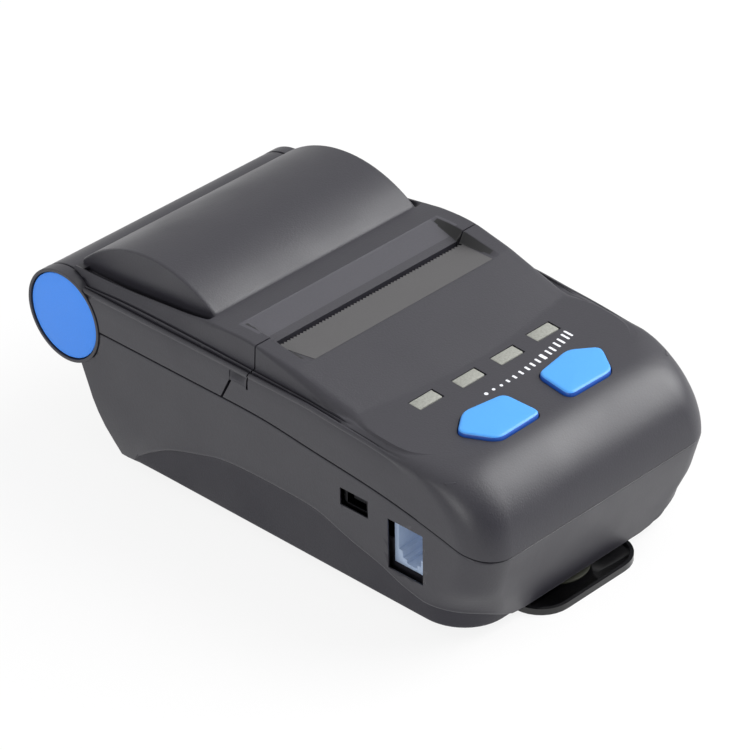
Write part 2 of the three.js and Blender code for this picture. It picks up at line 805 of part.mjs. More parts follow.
function bottomShell() {
  const walls = loft(baseLevels(0, wallHalf, 0)).intersect(aboveCrease());
  const skirt = loft(baseLevels(0, skirtHalf, skirtStep));
  const inside = loft(baseLevels(wall, skirtHalf, skirtStep));
  const envelope = union(walls, skirt).intersect(partingPrism(-seam / 2, false));
  const barrelSpace = rodX(barrelRadius + seam, -knuckleInner, knuckleInner, hingeY, hingeZ, hingeSides);
  let body = cut(envelope, inside);

  const fill = [];
  for (const [x, y] of postSpots) fill.push(rodZ(postRadius, wall / 2, boardZ - seam / 2, x, y));
  for (const [x, y] of frameSpots) fill.push(rodZ(postRadius, wall / 2, frameFloorZ - seam / 2, x, y));
  fill.push(box(
    -pocketHalf - wall, pocketHalf + wall, pocketFront - wall, pocketRear + wall,
    wall / 2, pocketDepth + wall,
  ));
  for (const side of [-1, 1]) fill.push(hingeRod(knuckleRadius, side, knuckleInner, knuckleOuter));
  body = union(body, ...fill);

  const holes = [barrelSpace];
  const pocket = box(-pocketHalf, pocketHalf, pocketFront, pocketRear, -overrun, pocketDepth);
  holes.push(pocket);
  for (const [x, y] of postSpots) {
    holes.push(rodZ(screwRadius + running, -overrun, boardZ + overrun, x, y, screwSides));
    holes.push(rodZ(screwHeadRadius + running, -overrun, caseHeadZ + screwHeadHeight, x, y, pinSides));
  }
  for (const [x, y] of frameSpots) {
    const tip = frameScrewHead - frameScrewLength - running;
    holes.push(rodZ(screwRadius + running, tip, frameFloorZ + overrun, x, y, screwSides));
  }
  for (const side of [-1, 1]) {
    holes.push(hingeRod(discRadius + running, side, discFace - discThickness - seam, knuckleOuter + overrun));
    holes.push(hingeRod(pinHeadRadius + running, side, pinHeadInner - seam, discFace - discThickness));
    holes.push(hingeRod(pinRadius + running, side, knuckleInner - overrun, knuckleOuter));
  }
  const mouth = sideHalf + overrun;
  holes.push(box(
    -mouth, -(sideHalf - wall * 2), usbY - usbWidth / 2 - portRim, usbY + usbWidth / 2 + portRim,
    usbZ - usbHeight / 2 - portRim, usbZ + usbHeight / 2 + portRim,
  ));
  holes.push(box(
    -mouth, -(sideHalf - wall * 2), jackY - jackWidth / 2 - portRim, jackY + jackWidth / 2 + portRim,
    jackLow - portRim, jackHigh + portRim / 2,
  ));
  body = cut(body, ...holes);

  const lugs = [-1, 1].map((side) => onSide(side, clipLugInner, clipLugInner + clipLugWidth, (x0, x1) => (
    box(x0, x1, clipPivotY - clipKnuckle, clipPivotY + clipKnuckle, 0, pocketDepth + wall / 2)
  )));
  const lugSpace = rodX(
    clipPinRadius + running, -clipLugInner - clipLugWidth - overrun, clipLugInner + clipLugWidth + overrun,
    clipPivotY, clipPivotZ, pinSides,
  );
  return cut(union(body, ...lugs), lugSpace);
}

const pinHeadInner = discFace - discThickness - seam - pinHeadThickness;
const clipLugInner = clipEarInner + clipEarWidth + seam;

// Front casing: nose, button panel, hood front and the tongue under the cover

const buttonOutline = (grow) => {
  const x0 = buttonInnerX - grow;
  const x1 = buttonOuterX + grow;
  const y0 = buttonFrontY - grow;
  const y1 = buttonRearY + grow;
  return buttonShares.map(([a, b]) => [x0 + a * (x1 - x0), y0 + b * (y1 - y0)]);
};
const mirrored = (points) => points.map(([x, y]) => [-x, y]).reverse();
const buttonMiddleX = (buttonInnerX + buttonOuterX) / 2;
const buttonMiddleY = (buttonFrontY + buttonRearY) / 2;

const windowSpots = windowShares.map((place) => [
  place * windowPitch, windowY - (Math.abs(place) < 1 ? windowArc : 0),
]);

function frontShell() {
  const region = prismX(jointOutline(-1), -sideHalf - overrun, sideHalf + overrun)
    .intersect(partingPrism(seam / 2, true));
  const outer = cut(upperEnvelope(0, true), recessPrism(0, recessHalf));
  const inner = cut(upperEnvelope(wall, true), recessPrism(wall, recessHalf + wall));
  let body = cut(outer, inner).intersect(region);

  const fill = postSpots.map(([x, y]) => rodZ(screwRadius + bossWall, boardTop + seam / 2, datumHigh, x, y));
  body = union(body, ...fill.map((boss) => boss.intersect(outer)));

  const caseTip = caseHeadZ + caseScrewLength + running;
  const holes = postSpots.map(([x, y]) => (
    rodZ(screwRadius + running / 2, boardTop - overrun, caseTip, x, y, screwSides)
  ));
  for (const points of [buttonOutline(seam), mirrored(buttonOutline(seam))]) {
    holes.push(prismZ(roundedPolygon(points, buttonRound + seam), boardTop, datumHigh, 0, cornerSteps));
  }
  for (const [x, y] of windowSpots) {
    const w = windowWidth / 2 + running;
    const d = windowDepth / 2 + running;
    holes.push(box(x - w, x + w, y - d, y + d, boardTop, datumHigh));
  }
  const bladeFront = bladeRear - bladeThickness - seam;
  holes.push(box(
    -bladeHalf - seam, bladeHalf + seam, bladeFront, slotY,
    recessFloor - bladeDepth - overrun, recessFloor + recessLean + overrun,
  ));
  return cut(union(body, notchBack(-1), notchBack(1)), ...holes);
}

const bladeRear = slotY - slotWidth / 2;

// Wall behind the finger notch at each side, standing on the tongue
const notchBack = (side) => onSide(side, sideHalf - wall, sideHalf - wall + notchSheet, (x0, x1) => (
  box(x0, x1, tongueFront - overrun, tongueRear - seam, tongueTop - wall, notchTop - seam)
));

// Paper cover: side walls, hood rear, dome and hinge barrel

function paperCover() {
  const region = prismX(jointOutline(1), -sideHalf - overrun, sideHalf + overrun)
    .intersect(partingPrism(seam / 2, true));
  const domeOuter = prismX(domeShape(0), -domeHalf, domeHalf, domeEdge, domeSteps);
  const domeInner = prismX(domeShape(wall), -domeHalf + wall, domeHalf - wall, 0, domeSteps);
  const beforeHinge = box(
    -sideHalf - overrun, sideHalf + overrun, -farFront, hoodRear, noseLow - noseHeight, datumHigh,
  );
  const beforeRear = box(
    -sideHalf - overrun, sideHalf + overrun, -farFront, hoodRear - wall, noseLow - noseHeight, datumHigh,
  );
  const hood = upperEnvelope(0, false).intersect(beforeHinge);
  const outer = union(hood, domeOuter).intersect(region);
  const inner = union(upperEnvelope(wall, false), domeInner).intersect(beforeRear);
  const gutter = [-1, 1].map((side) => gutterPrism(side));

  const knuckleSpace = [-1, 1].map((side) => (
    hingeRod(knuckleRadius + seam, side, barrelHalf, knuckleOuter + overrun)
  ));
  const barrel = rodX(barrelRadius, -barrelHalf, barrelHalf, hingeY, hingeZ, hingeSides);
  const core = barrelHalf - barrelEndWall;
  const bore = rodX(barrelRadius - wall, -core, core, hingeY, hingeZ, hingeSides);
  const mouthTop = hingeZ + barrelRadius - wall * 2;
  const mouth = box(
    -core, core, hingeY - barrelRadius - overrun, hingeY, partingHeight - barrelRadius, mouthTop,
  );
  const pinBore = rodX(pinRadius + running, -knuckleOuter, knuckleOuter, hingeY, hingeZ, wheelSides);
  const shell = union(cut(outer, inner, recessPrism(0, recessHalf), ...gutter, ...knuckleSpace), barrel);
  let body = cut(shell, bore, mouth, pinBore);

  const plate = cut(
    upperEnvelope(0, false).intersect(recessPrism(wall, recessHalf + wall)).intersect(region),
    recessPrism(0, recessHalf),
    prismX(domeShape(wall), -domeHalf + wall, domeHalf - wall, 0, domeSteps),
  );
  body = union(body, plate);

  const bosses = bracketSpots.map(([x, y]) => (
    rodZ(screwRadius + bossWall, bracketZ + bracketThickness + seam / 2, recessFloor, x, y)
  ));
  const bracketTip = bracketScrewHead + bracketScrewLength + running;
  const holes = bracketSpots.map(([x, y]) => (
    rodZ(screwRadius + running / 2, bracketZ, bracketTip, x, y, screwSides)
  ));
  return cut(union(body, ...bosses), ...holes);
}

const bracketSpots = [-1, 1].map((side) => [side * bracketScrewX, bracketFront + bracketDepth / 2]);
const bracketScrewHead = bracketZ - seam / 2 - screwHeadHeight;

function gutterPrism(side) {
  const low = railTop + hoodRise * gutterShare;
  const shape = outline([
    [hoodRear + overrun, low], [rollY, low], [domeFrontY + wall, domeFrontZ - gutterDepth],
    [domeFrontY, domeFrontZ + gutterDepth], [domeFrontY, datumHigh], [hoodRear + overrun, datumHigh],
  ]);
  const cutter = onSide(side, domeHalf - domeEdge, gutterOuter, (x0, x1) => prismX(shape, x0, x1));
  return cut(cutter, prismX(domeShape(0), -domeHalf, domeHalf, domeEdge, domeSteps));
}

// Hinge: end discs and pins

const hingeDisc = (side) => hingeRod(discRadius, side, discFace - discThickness, discFace);

function hingePin(side) {
  const head = hingeRod(pinHeadRadius, side, pinHeadInner, pinHeadInner + pinHeadThickness);
  const tip = barrelHalf - barrelEndWall + seam;
  const shank = hingeRod(pinRadius, side, tip, pinHeadInner + pinHeadThickness / 2);
  return union(head, shank);
}

// Paper tray: a half-round trough with end plates and two feet

function paperTray() {
  const inner = rollRadius + trayGap;
  const outer = inner + trayWall;
  const half = rollHalf + trayGap;
  const from = Math.PI * 2 * trayFromShare;
  const to = Math.PI * 2 * trayToShare;
  const band = new THREE.Shape();
  band.absarc(rollY, rollZ, outer, from, to);
  band.absarc(rollY, rollZ, inner, to, from, true);
  band.closePath();
  const plate = new THREE.Shape();
  plate.absarc(rollY, rollZ, outer, from, to);
  plate.closePath();
  const pieces = [prismX(band, -half - trayWall, half + trayWall, 0, traySteps)];
  for (const side of [-1, 1]) {
    pieces.push(onSide(side, half, half + trayWall, (x0, x1) => prismX(plate, x0, x1, 0, traySteps)));
  }
  const outerX = trayFootHalfGap + trayFootWidth;
  const foot = [-1, 1].map((side) => onSide(side, trayFootHalfGap, outerX, (x0, x1) => (
    box(x0, x1, trayFootY, rollY * 2 - trayFootY, wall + seam, rollZ - inner + trayWall * 3)
  )));
  const hollow = rodX(inner + trayWall / 2, -half, half, rollY, rollZ, hingeSides);
  return union(union(...pieces), ...foot.map((leg) => cut(leg, hollow)));
}

function paperSensor() {
  const z = rollZ - rollRadius - trayGap - trayWall - seam;
  return box(-sensorSize / 2, sensorSize / 2, rollY - sensorSize, rollY + sensorSize, wall + seam, z);
}

// Platen roller and its bracket, all on the cover

const platenRoller = () => cut(
  rodX(platenRadius, -platenHalf, platenHalf, platenY, platenZ, rollerSides),
  rodX(shaftRadius + running / 5, -platenHalf - overrun, platenHalf + overrun, platenY, platenZ, pinSides),
);
const platenShaft = () => rodX(
  shaftRadius, -bushOuter - earThickness, gearInner + gearWidth + seam, platenY, platenZ, pinSides,
);
const platenBush = (side) => onSide(side, bushInner, bushOuter, (x0, x1) => cut(
  rodX(bushRadius, x0, x1, platenY, platenZ, wheelSides),
  rodX(shaftRadius + running, x0 - overrun, x1 + overrun, platenY, platenZ, pinSides),
));

function platenBracket() {
  const rear = bracketFront + bracketDepth;
  const outer = earInner + earThickness;
  const bar = box(-outer, outer, bracketFront, rear, bracketZ, bracketZ + bracketThickness);
  const ears = [-1, 1].map((side) => onSide(side, earInner, outer, (x0, x1) => union(
    rodX(earRadius, x0, x1, platenY, platenZ, wheelSides),
    prismX(outline([
      [platenY, platenZ - earRadius], [rear, bracketZ], [rear, bracketZ + bracketThickness],
      [platenY, platenZ + earRadius],
    ]), x0, x1),
  )));
  const holes = bracketSpots.map(([x, y]) => (
    rodZ(screwRadius + running, bracketZ - overrun, bracketZ + bracketThickness + overrun, x, y, screwSides)
  ));
  const seats = rodX(bushRadius + running, -outer - overrun, outer + overrun, platenY, platenZ, wheelSides);
  return cut(union(bar, ...ears), ...holes, seats);
}

// Gears with straight-sided teeth, cut with backlash
function gearBody(teeth, y, z, bore, turn) {
  const pitch = (gearModule * teeth) / 2;
  const tip = pitch + gearModule * toothTipShare;
  const root = pitch - gearModule * toothRootShare;
  const step = (Math.PI * 2) / teeth;
  const slack = gearBacklash / pitch / 4;
  const tipHalf = step * toothTipWidthShare - slack;
  const rootHalf = step * toothRootWidthShare - slack;
  const shape = new THREE.Shape();
  for (let tooth = 0; tooth < teeth; tooth += 1) {
    const middle = turn + tooth * step;
    const flanks = [[root, -rootHalf], [tip, -tipHalf], [tip, tipHalf], [root, rootHalf]];
    flanks.forEach(([radius, angle], corner) => {
      const a = y + radius * Math.cos(middle + angle);
      const b = z + radius * Math.sin(middle + angle);
      if (tooth === 0 && corner === 0) shape.moveTo(a, b);
      else shape.lineTo(a, b);
    });
  }
  shape.closePath();
  const blank = prismX(shape, gearInner, gearInner + gearWidth);
  return cut(blank, rodX(bore, gearInner - overrun, gearInner + gearWidth + overrun, y, z, screwSides));
}

const pinionPitch = (gearModule * pinionTeeth) / 2;
const idlerPitch = (gearModule * idlerTeeth) / 2;
const platenPitch = (gearModule * platenTeeth) / 2;
const gearLine = new THREE.Vector2(-Math.sqrt(
  (pinionPitch + idlerPitch * 2 + platenPitch) ** 2 - (platenZ - motorZ) ** 2,
), motorZ - platenZ);
const gearAngle = gearLine.angle(); // from the platen towards the motor
const gearAt = (distance) => [
  platenY + distance * Math.cos(gearAngle), platenZ + distance * Math.sin(gearAngle),
];
const idlerSpot = gearAt(platenPitch + idlerPitch);
const motorSpot = gearAt(platenPitch + idlerPitch * 2 + pinionPitch);

// Each gear is turned so that a tooth of one faces a gap of the next
const platenTurn = gearAngle;
const idlerStep = (Math.PI * 2) / idlerTeeth;
const idlerTurn = gearAngle + Math.PI + idlerStep / 2;
// Where the motor side falls between two teeth of the idler
const idlerPhase = (((gearAngle - idlerTurn) / idlerStep) % 1 + 1) % 1;
const pinionStep = (Math.PI * 2) / pinionTeeth;
const pinionTurn = gearAngle + Math.PI + (idlerPhase + 1 / 2) * pinionStep;

const platenGear = () => gearBody(platenTeeth, platenY, platenZ, shaftRadius + running / 5, platenTurn);
const idlerGear = () => gearBody(idlerTeeth, ...idlerSpot, axleRadius + running, idlerTurn);
const motorPinion = () => {
  const toothed = gearBody(pinionTeeth, ...motorSpot, spindleRadius / 2, pinionTurn);
  const spindle = rodX(
    spindleRadius, motorInner + motorLength + seam, gearInner + gearWidth, ...motorSpot, screwSides,
  );
  return union(toothed, spindle);
};

// Mechanism frame: floor, sheet behind the head, and two side plates with open notches for the bushes

function frameSide(side) {
  const low = frameFloorZ;
  const notch = bushRadius + running;
  const plate = outline([
    [frameFront, low], [frameFloorRear, low], [frameFloorRear, platenZ - motorRadius],
    [frameRear, platenZ - bushRadius * 2], [frameRear, platenZ], [frameBackY - wall, frameTop],
    [frameNose, motorZ + bushRadius], [frameNose, motorZ - bushRadius],
  ]);
  const open = outline([
    [platenY - notch, platenZ], [platenY - notch, datumHigh], [platenY + notch + notchLean * 2, datumHigh],
    [platenY + notch + notchLean, platenZ],
  ]);
  return onSide(side, frameSideInner, frameSideInner + frameSheet, (x0, x1) => cut(
    prismX(plate, x0, x1),
    prismX(open, x0 - overrun, x1 + overrun),
    rodX(notch, x0 - overrun, x1 + overrun, platenY, platenZ, wheelSides),
  ));
}

function mechanismFrame() {
  const outer = frameSideInner + frameSheet;
  const floor = box(-outer, outer, frameFront, frameFloorRear, frameFloorZ, frameFloorZ + frameSheet);
  const back = box(
    -frameBackHalf, frameBackHalf, frameBackY, frameBackY + frameSheet, frameFloorZ, frameTop,
  );
  const holes = frameSpots.map(([x, y]) => (
    rodZ(screwRadius + running, frameFloorZ - overrun, frameFloorZ + frameSheet + overrun, x, y, screwSides)
  ));
  holes.push(rodX(
    axleRadius + running, frameSideInner - overrun, outer + overrun, ...idlerSpot, pinSides,
  ));
  holes.push(rodX(
    spindleRadius + running * 2, frameSideInner - overrun, outer + overrun, ...motorSpot, pinSides,
  ));
  return cut(union(floor, back, frameSide(-1), frameSide(1)), ...holes);
}

function idlerAxle() {
  const outer = frameSideInner + frameSheet;
  return union(
    rodX(axleRadius, frameSideInner - frameSheet, gearInner + gearWidth + seam * 2, ...idlerSpot, pinSides),
    rodX(axleHeadRadius, frameSideInner - frameSheet, frameSideInner - seam, ...idlerSpot, pinSides),
    rodX(axleHeadRadius, outer + seam, gearInner - seam, ...idlerSpot, pinSides),
  );
}

const driveMotor = () => {
  const end = frameSideInner - seam;
  return cut(
    union(
      rodX(motorRadius, motorInner, end - frameSheet, ...motorSpot, rollerSides),
      box(
        end - frameSheet * 1.5, end, motorSpot[0] - motorFlange, motorSpot[0] + motorFlange,
        motorSpot[1] - motorFlange, motorSpot[1] + motorFlange,
      ),
    ),
    rodX(spindleRadius + running * 2, motorInner + motorLength / 2, end + overrun, ...motorSpot, pinSides),
  );
};

// Print head with its heat sink, and the two springs that press it to the platen
const headRear = platenY - platenRadius - headGap;
const headFront = headRear - headThickness;

function printHead() {
  const sink = box(-headHalf, headHalf, headFront, headRear - headStrip, headLow, headTop);
  const strip = box(
    -headHalf + wall, headHalf - wall, headRear - headStrip * 1.5, headRear,
    platenZ - platenRadius / 2, platenZ + platenRadius / 2,
  );
  const fins = [];
  for (let fin = -finCount; fin <= finCount; fin += 1) {
    const x = (fin / finCount) * (headHalf - finWidth * 4);
    if (Math.abs(Math.abs(x) - headSpringX) > headSpringRadius + finWidth * 2) {
      fins.push(box(
        x - finWidth / 2, x + finWidth / 2, headFront - finDepth, headFront + finDepth, headLow, headTop,
      ));
    }
  }
  return union(sink, strip, ...fins);
}

const headSpringLength = headFront - seam - (frameBackY + frameSheet + seam);

function headSpring(side) {
  const pitch = (headSpringLength - headWire) / headTurns;
  const body = coilSpring(headSpringRadius - headWire / 2, headWire, pitch, headTurns);
  const turned = body.rotate([0, 0, 90]);
  return turned.translate([
    side * headSpringX, (frameBackY + frameSheet + headFront) / 2, headSpringZ,
  ]);
}

// Serrated tear bar along the front edge of the slot
function tearBar() {
  const count = Math.floor((bladeHalf * 2) / toothPitch);
  const start = -(count * toothPitch) / 2;
  const low = recessFloor - bladeDepth;
  const points = [[-start, low], [start, low]];
  for (let tooth = 0; tooth < count; tooth += 1) {
    points.push([start + tooth * toothPitch, recessFloor]);
    points.push([start + (tooth + 1 / 2) * toothPitch, recessFloor + toothHeight]);
  }
  points.push([-start, recessFloor]);
  return prismY(outline(points), bladeRear - bladeThickness, bladeRear);
}

// Main board with its parts, and the battery under it

function mainBoard() {
  const half = sideHalf - wall - boardGap;
  const front = -(noseReach - wall - boardFrontGap);
  const corner = noseCorner - wall;
  const shape = new THREE.Shape();
  shape.moveTo(half, boardRear);
  shape.lineTo(-half, boardRear);
  shape.absarc(-half + corner, front + corner, corner, Math.PI, Math.PI * 1.5);
  shape.absarc(half - corner, front + corner, corner, Math.PI * 1.5, Math.PI * 2);
  shape.closePath();
  const holes = postSpots.map(([x, y]) => (
    rodZ(screwRadius + running, boardZ - overrun, boardTop + overrun, x, y, screwSides)
  ));
  return cut(prismZ(shape, boardZ, boardTop, 0, cornerSteps), ...holes);
}

const radioModule = () => box(
  -radioX - radioWidth, -radioX, radioY, radioY + radioLength, boardTop + seam / 2, boardTop + radioHeight,
);

const buzzer = () => rodZ(
  buzzerRadius, boardTop + seam / 2, boardTop + buzzerHeight, buzzerX, buzzerY, wheelSides,
);

const batteryPack = () => prismX(
  roundedRect(batteryFront, batteryRear, wall + seam, wall + seam + batteryHeight, batteryRound),
  batteryLeft, batteryRight, batteryEdge, curveSteps,
);

// Charging socket: a folded shell with a tongue inside
function usbSocket() {
  const mouth = -(sideHalf - portSetback);
  const y0 = usbY - usbWidth / 2;
  const y1 = usbY + usbWidth / 2;
  const z0 = usbZ - usbHeight / 2;
  const z1 = boardZ - seam / 2;
  const shape = outline([
    [y0 + usbHeight / 4, z0], [y1 - usbHeight / 4, z0], [y1, z0 + usbHeight / 4], [y1, z1], [y0, z1],
    [y0, z0 + usbHeight / 4],
  ]);
  const body = prismX(shape, mouth, mouth + usbDepth);
  const top = usbZ + usbHeight / 2 - usbSheet;
  const hollow = box(
    mouth - overrun, mouth + usbDepth - usbSheet * 2, y0 + usbSheet * 2, y1 - usbSheet * 2,
    z0 + usbSheet, top,
  );
  const tongue = box(
    mouth + portSetback, mouth + usbDepth - usbSheet, y0 + usbSheet * 4, y1 - usbSheet * 4,
    usbZ - usbSheet, usbZ + usbSheet,
  );
  return union(cut(body, hollow), tongue);
}

// Serial jack: a box with a stepped mouth, guide ribs and a row of contacts
function serialJack() {
  const mouth = -(sideHalf - portSetback);
  const y0 = jackY - jackWidth / 2;
  const y1 = jackY + jackWidth / 2;
  const top = boardZ - seam / 2;
  const body = union(
    box(mouth, mouth + jackDepth, y0, y1, jackLow, jackHigh),
    box(-(sideHalf - skirtStep - wall - seam), mouth + jackDepth, y0, y1, jackLow, top),
  );
  const inner = mouth + jackDepth - jackWall * 2;
  const ceiling = jackHigh - jackWall * 1.6;
  const hollow = box(mouth - overrun, inner, y0 + jackWall, y1 - jackWall, jackLow + jackWall, ceiling);
  const keyway = box(
    mouth - overrun, inner, jackY - jackKeyway, jackY + jackKeyway, jackLow - overrun, jackLow + jackWall * 2,
  );
  const ribs = [-1, 1].map((side) => {
    const y = jackY + side * (jackWidth / 2 - jackWall);
    return box(
      mouth + jackWall, inner + jackWall, Math.min(y, y - side * jackWall), Math.max(y, y - side * jackWall),
      jackLow + jackRibHeight, jackLow + jackRibHeight + jackWall,
    );
  });
  const lip = box(
    mouth + jackWall * 2, inner + jackWall, y0 + jackWall / 2, y1 - jackWall / 2, ceiling - jackWall,
    ceiling + jackWall / 2,
  );
  return union(cut(body, hollow, keyway), ...ribs, lip);
}

// Buttons: a cap with a retaining lip and a stem that carries the switch plunger

const capTop = panelAt(buttonMiddleY) + buttonProud;
const switchTop = boardTop + switchHeight;

function buttonCap(side) {
  const wide = side > 0 ? buttonOutline(0) : mirrored(buttonOutline(0));
  const lipPoints = side > 0 ? buttonOutline(buttonLip) : mirrored(buttonOutline(buttonLip));
  const cap = prismZ(roundedPolygon(wide, buttonRound), capTop - buttonThickness, capTop, 0, cornerSteps);
  const lipTop = panelAt(buttonFrontY - buttonLip) - wall - seam - buttonLip / 4;
  const lip = prismZ(roundedPolygon(lipPoints, buttonRound), lipTop - lipThickness, lipTop, 0, splineSteps);
  const stemFoot = switchTop + buttonTravel + seam;
  const inCap = capTop - buttonThickness / 2;
  const stem = rodZ(buttonStem, stemFoot, inCap, side * buttonMiddleX, buttonMiddleY, pinSides);
  const neck = prismZ(
    roundedPolygon(wide, buttonRound), lipTop - lipThickness / 2, inCap, 0, cornerSteps,
  );
  return union(cap, neck, lip, stem);
}


function crownedCap(side) {
  const body = buttonCap(side);
  const half = (buttonOuterX - buttonInnerX) / 2;
  const radius = (half * half + crownDrop * crownDrop) / (2 * crownDrop);
  const ball = new THREE.CylinderGeometry(radius, radius, farFront, crownSides);
  ball.translate(side * buttonMiddleX, 0, capTop - radius);
  return body.intersect(solid(ball).translate([0, buttonMiddleY, 0]));
}

const switchBody = (side) => {
  const x = side * buttonMiddleX;
  const half = switchSize / 2;
  return cut(
    box(x - half, x + half, buttonMiddleY - half, buttonMiddleY + half, boardTop + seam / 2, switchTop),
    rodZ(
      plungerRadius + running, switchTop - plungerDepth - buttonTravel - seam, switchTop + overrun,
      x, buttonMiddleY, pinSides,
    ),
  );
};
const plunger = (side) => rodZ(
  plungerRadius, switchTop - plungerDepth, switchTop + buttonTravel,
  side * buttonMiddleX, buttonMiddleY, pinSides,
);

// Light windows: a pane flush with the panel and a pipe down to the board
function lightWindow([x, y]) {
  const top = panelAt(y);
  const halfWidth = windowWidth / 2;
  const halfDepth = windowDepth / 2;
  const pane = prismZ(
    roundedRect(x - halfWidth, x + halfWidth, y - halfDepth, y + halfDepth, halfDepth / 4),
    top - windowThickness, top + panelSlope * windowDepth / 2, 0, cornerSteps,
  );
  const pipe = box(
    x - pipeWidth / 2, x + pipeWidth / 2, y - pipeDepth / 2, y + pipeDepth / 2,
    boardTop + seam, top - windowThickness / 2,
  );
  return union(pane, pipe);
}

// Belt clip: a pressed plate with a turned-up rim, ears, pin, spring and grip pad

const clipLow = -clipDrop;
const clipRear = clipPivotY;

function clipOutline(inset) {
  const shape = new THREE.Shape();
  const half = clipHalf - inset;
  const radius = clipCorner - inset;
  const front = -clipReach + inset;
  shape.moveTo(half, clipRear);
  shape.lineTo(-half, clipRear);
  shape.absarc(-half + radius, front + radius, radius, Math.PI, Math.PI * 1.5);
  shape.absarc(half - radius, front + radius, radius, Math.PI * 1.5, Math.PI * 2);
  shape.closePath();
  return shape;
}

function beltClip() {
  const plate = prismZ(clipOutline(0), clipLow, clipLow + clipFlange, 0, cornerSteps);
  const tray = cut(
    prismZ(clipOutline(clipRimWidth), clipLow + clipSheet, clipLow + clipFlange + overrun, 0, cornerSteps),
    box(-clipHalf, clipHalf, clipRear - clipKnuckle, clipRear + overrun, clipLow, clipLow + clipFlange),
  );
  const earOuter = clipEarInner + clipEarWidth;
  const ears = [-1, 1].map((side) => onSide(side, clipEarInner, earOuter, (x0, x1) => union(
    rodX(clipKnuckle, x0, x1, clipPivotY, clipPivotZ, rodSides),
    prismX(outline([
      [clipPivotY - clipKnuckle, clipPivotZ], [clipPivotY - clipKnuckle, clipLow + clipSheet / 2],
      [clipPivotY, clipLow + clipSheet / 2], [clipPivotY + clipKnuckle, clipPivotZ],
    ]), x0, x1),
  )));
  const lugRoom = [-1, 1].map((side) => onSide(
    side, clipLugInner - seam / 2, clipHalf + overrun,
    (x0, x1) => box(
      x0, x1, clipPivotY - clipKnuckle * 2, clipPivotY + overrun,
      clipLow + clipSheet + running, clipLow + clipDrop * 2,
    ),
  ));
  const bore = rodX(clipPinRadius + running, -pocketHalf, pocketHalf, clipPivotY, clipPivotZ, pinSides);
  return cut(union(cut(plate, tray, ...lugRoom), ...ears), bore);
}

const clipPin = () => rodX(
  clipPinRadius, -clipLugInner - clipLugWidth, clipLugInner + clipLugWidth, clipPivotY, clipPivotZ, pinSides,
);
const gripPad = () => rodZ(
  padRadius, clipLow + clipSheet + padBed, clipLow + clipSheet + padThickness, 0, padY, hingeSides,
);

// A torsion spring round the pin
function clipSpring() {
  const body = coilSpring(clipSpringRadius, clipWire, springPitch, clipSpringTurns);
  return body.translate([0, clipPivotY, clipPivotZ]);
}

const springGap = springPitch - clipWire;
console.log(`least gap between the clip spring's curls: ${springGap.toFixed(2)} mm`);

// Assembly

const materials = {
  casing: new THREE.MeshStandardMaterial({ color: 0x4c4b4f, roughness: 0.55, metalness: 0 }),
  cover: new THREE.MeshStandardMaterial({ color: 0x504f54, roughness: 0.5, metalness: 0 }),
  blue: new THREE.MeshStandardMaterial({ color: 0x4f8ee6, roughness: 0.35, metalness: 0 }),
  buttons: new THREE.MeshStandardMaterial({ color: 0x64b4fa, roughness: 0.4, metalness: 0 }),
  window: new THREE.MeshStandardMaterial({ color: 0xa5a6a1, roughness: 0.3, metalness: 0 }),
  board: new THREE.MeshStandardMaterial({ color: 0x1f6b3a, roughness: 0.5, metalness: 0 }),
  steel: new THREE.MeshStandardMaterial({ color: 0xb6b8bb, roughness: 0.35, metalness: 1 }),
  aluminium: new THREE.MeshStandardMaterial({ color: 0xc9cacc, roughness: 0.4, metalness: 1 }),
  clip: new THREE.MeshStandardMaterial({ color: 0x16161a, roughness: 0.3, metalness: 0 }),
  rubber: new THREE.MeshStandardMaterial({ color: 0x232322, roughness: 0.8, metalness: 0 }),
  inner: new THREE.MeshStandardMaterial({ color: 0x2b2b2e, roughness: 0.6, metalness: 0 }),
  jack: new THREE.MeshStandardMaterial({ color: 0xabbbd4, roughness: 0.5, metalness: 0 }),
  nylon: new THREE.MeshStandardMaterial({ color: 0xe8e5da, roughness: 0.5, metalness: 0 }),
  battery: new THREE.MeshStandardMaterial({ color: 0x2a4f8f, roughness: 0.4, metalness: 0 }),
  pad: new THREE.MeshStandardMaterial({ color: 0x3a3c33, roughness: 0.8, metalness: 0 }),
};

const printer = new THREE.Group();

function add(name, body, material) {
  const mesh = new THREE.Mesh(geometryOf(body), materials[material]);
  mesh.name = name;
  printer.add(mesh);
}

const sides = [[-1, 'left'], [1, 'right']];

add('bottom_shell', bottomShell(), 'casing');
add('front_shell', frontShell(), 'casing');
add('paper_cover', paperCover(), 'cover');
for (const [side, word] of sides) {
  add(`hinge_disc_${word}`, hingeDisc(side), 'blue');
  add(`hinge_pin_${word}`, hingePin(side), 'steel');
  add(`platen_bush_${word}`, platenBush(side), 'nylon');
  add(`head_spring_${word}`, headSpring(side), 'steel');
}
add('paper_tray', paperTray(), 'inner');
add('paper_sensor', paperSensor(), 'inner');
add('platen_roller', platenRoller(), 'rubber');
add('platen_shaft', platenShaft(), 'steel');
add('platen_gear', platenGear(), 'nylon');
add('platen_bracket', platenBracket(), 'steel');
add('mechanism_frame', mechanismFrame(), 'steel');
add('print_head', printHead(), 'aluminium');
add('tear_bar', tearBar(), 'steel');
add('drive_motor', driveMotor(), 'aluminium');
add('motor_pinion', motorPinion(), 'nylon');
add('idler_gear', idlerGear(), 'nylon');
add('idler_axle', idlerAxle(), 'steel');
add('main_board', mainBoard(), 'board');
add('radio_module', radioModule(), 'steel');
add('buzzer', buzzer(), 'inner');
add('battery_pack', batteryPack(), 'battery');
add('usb_socket', usbSocket(), 'steel');
add('serial_jack', serialJack(), 'jack');
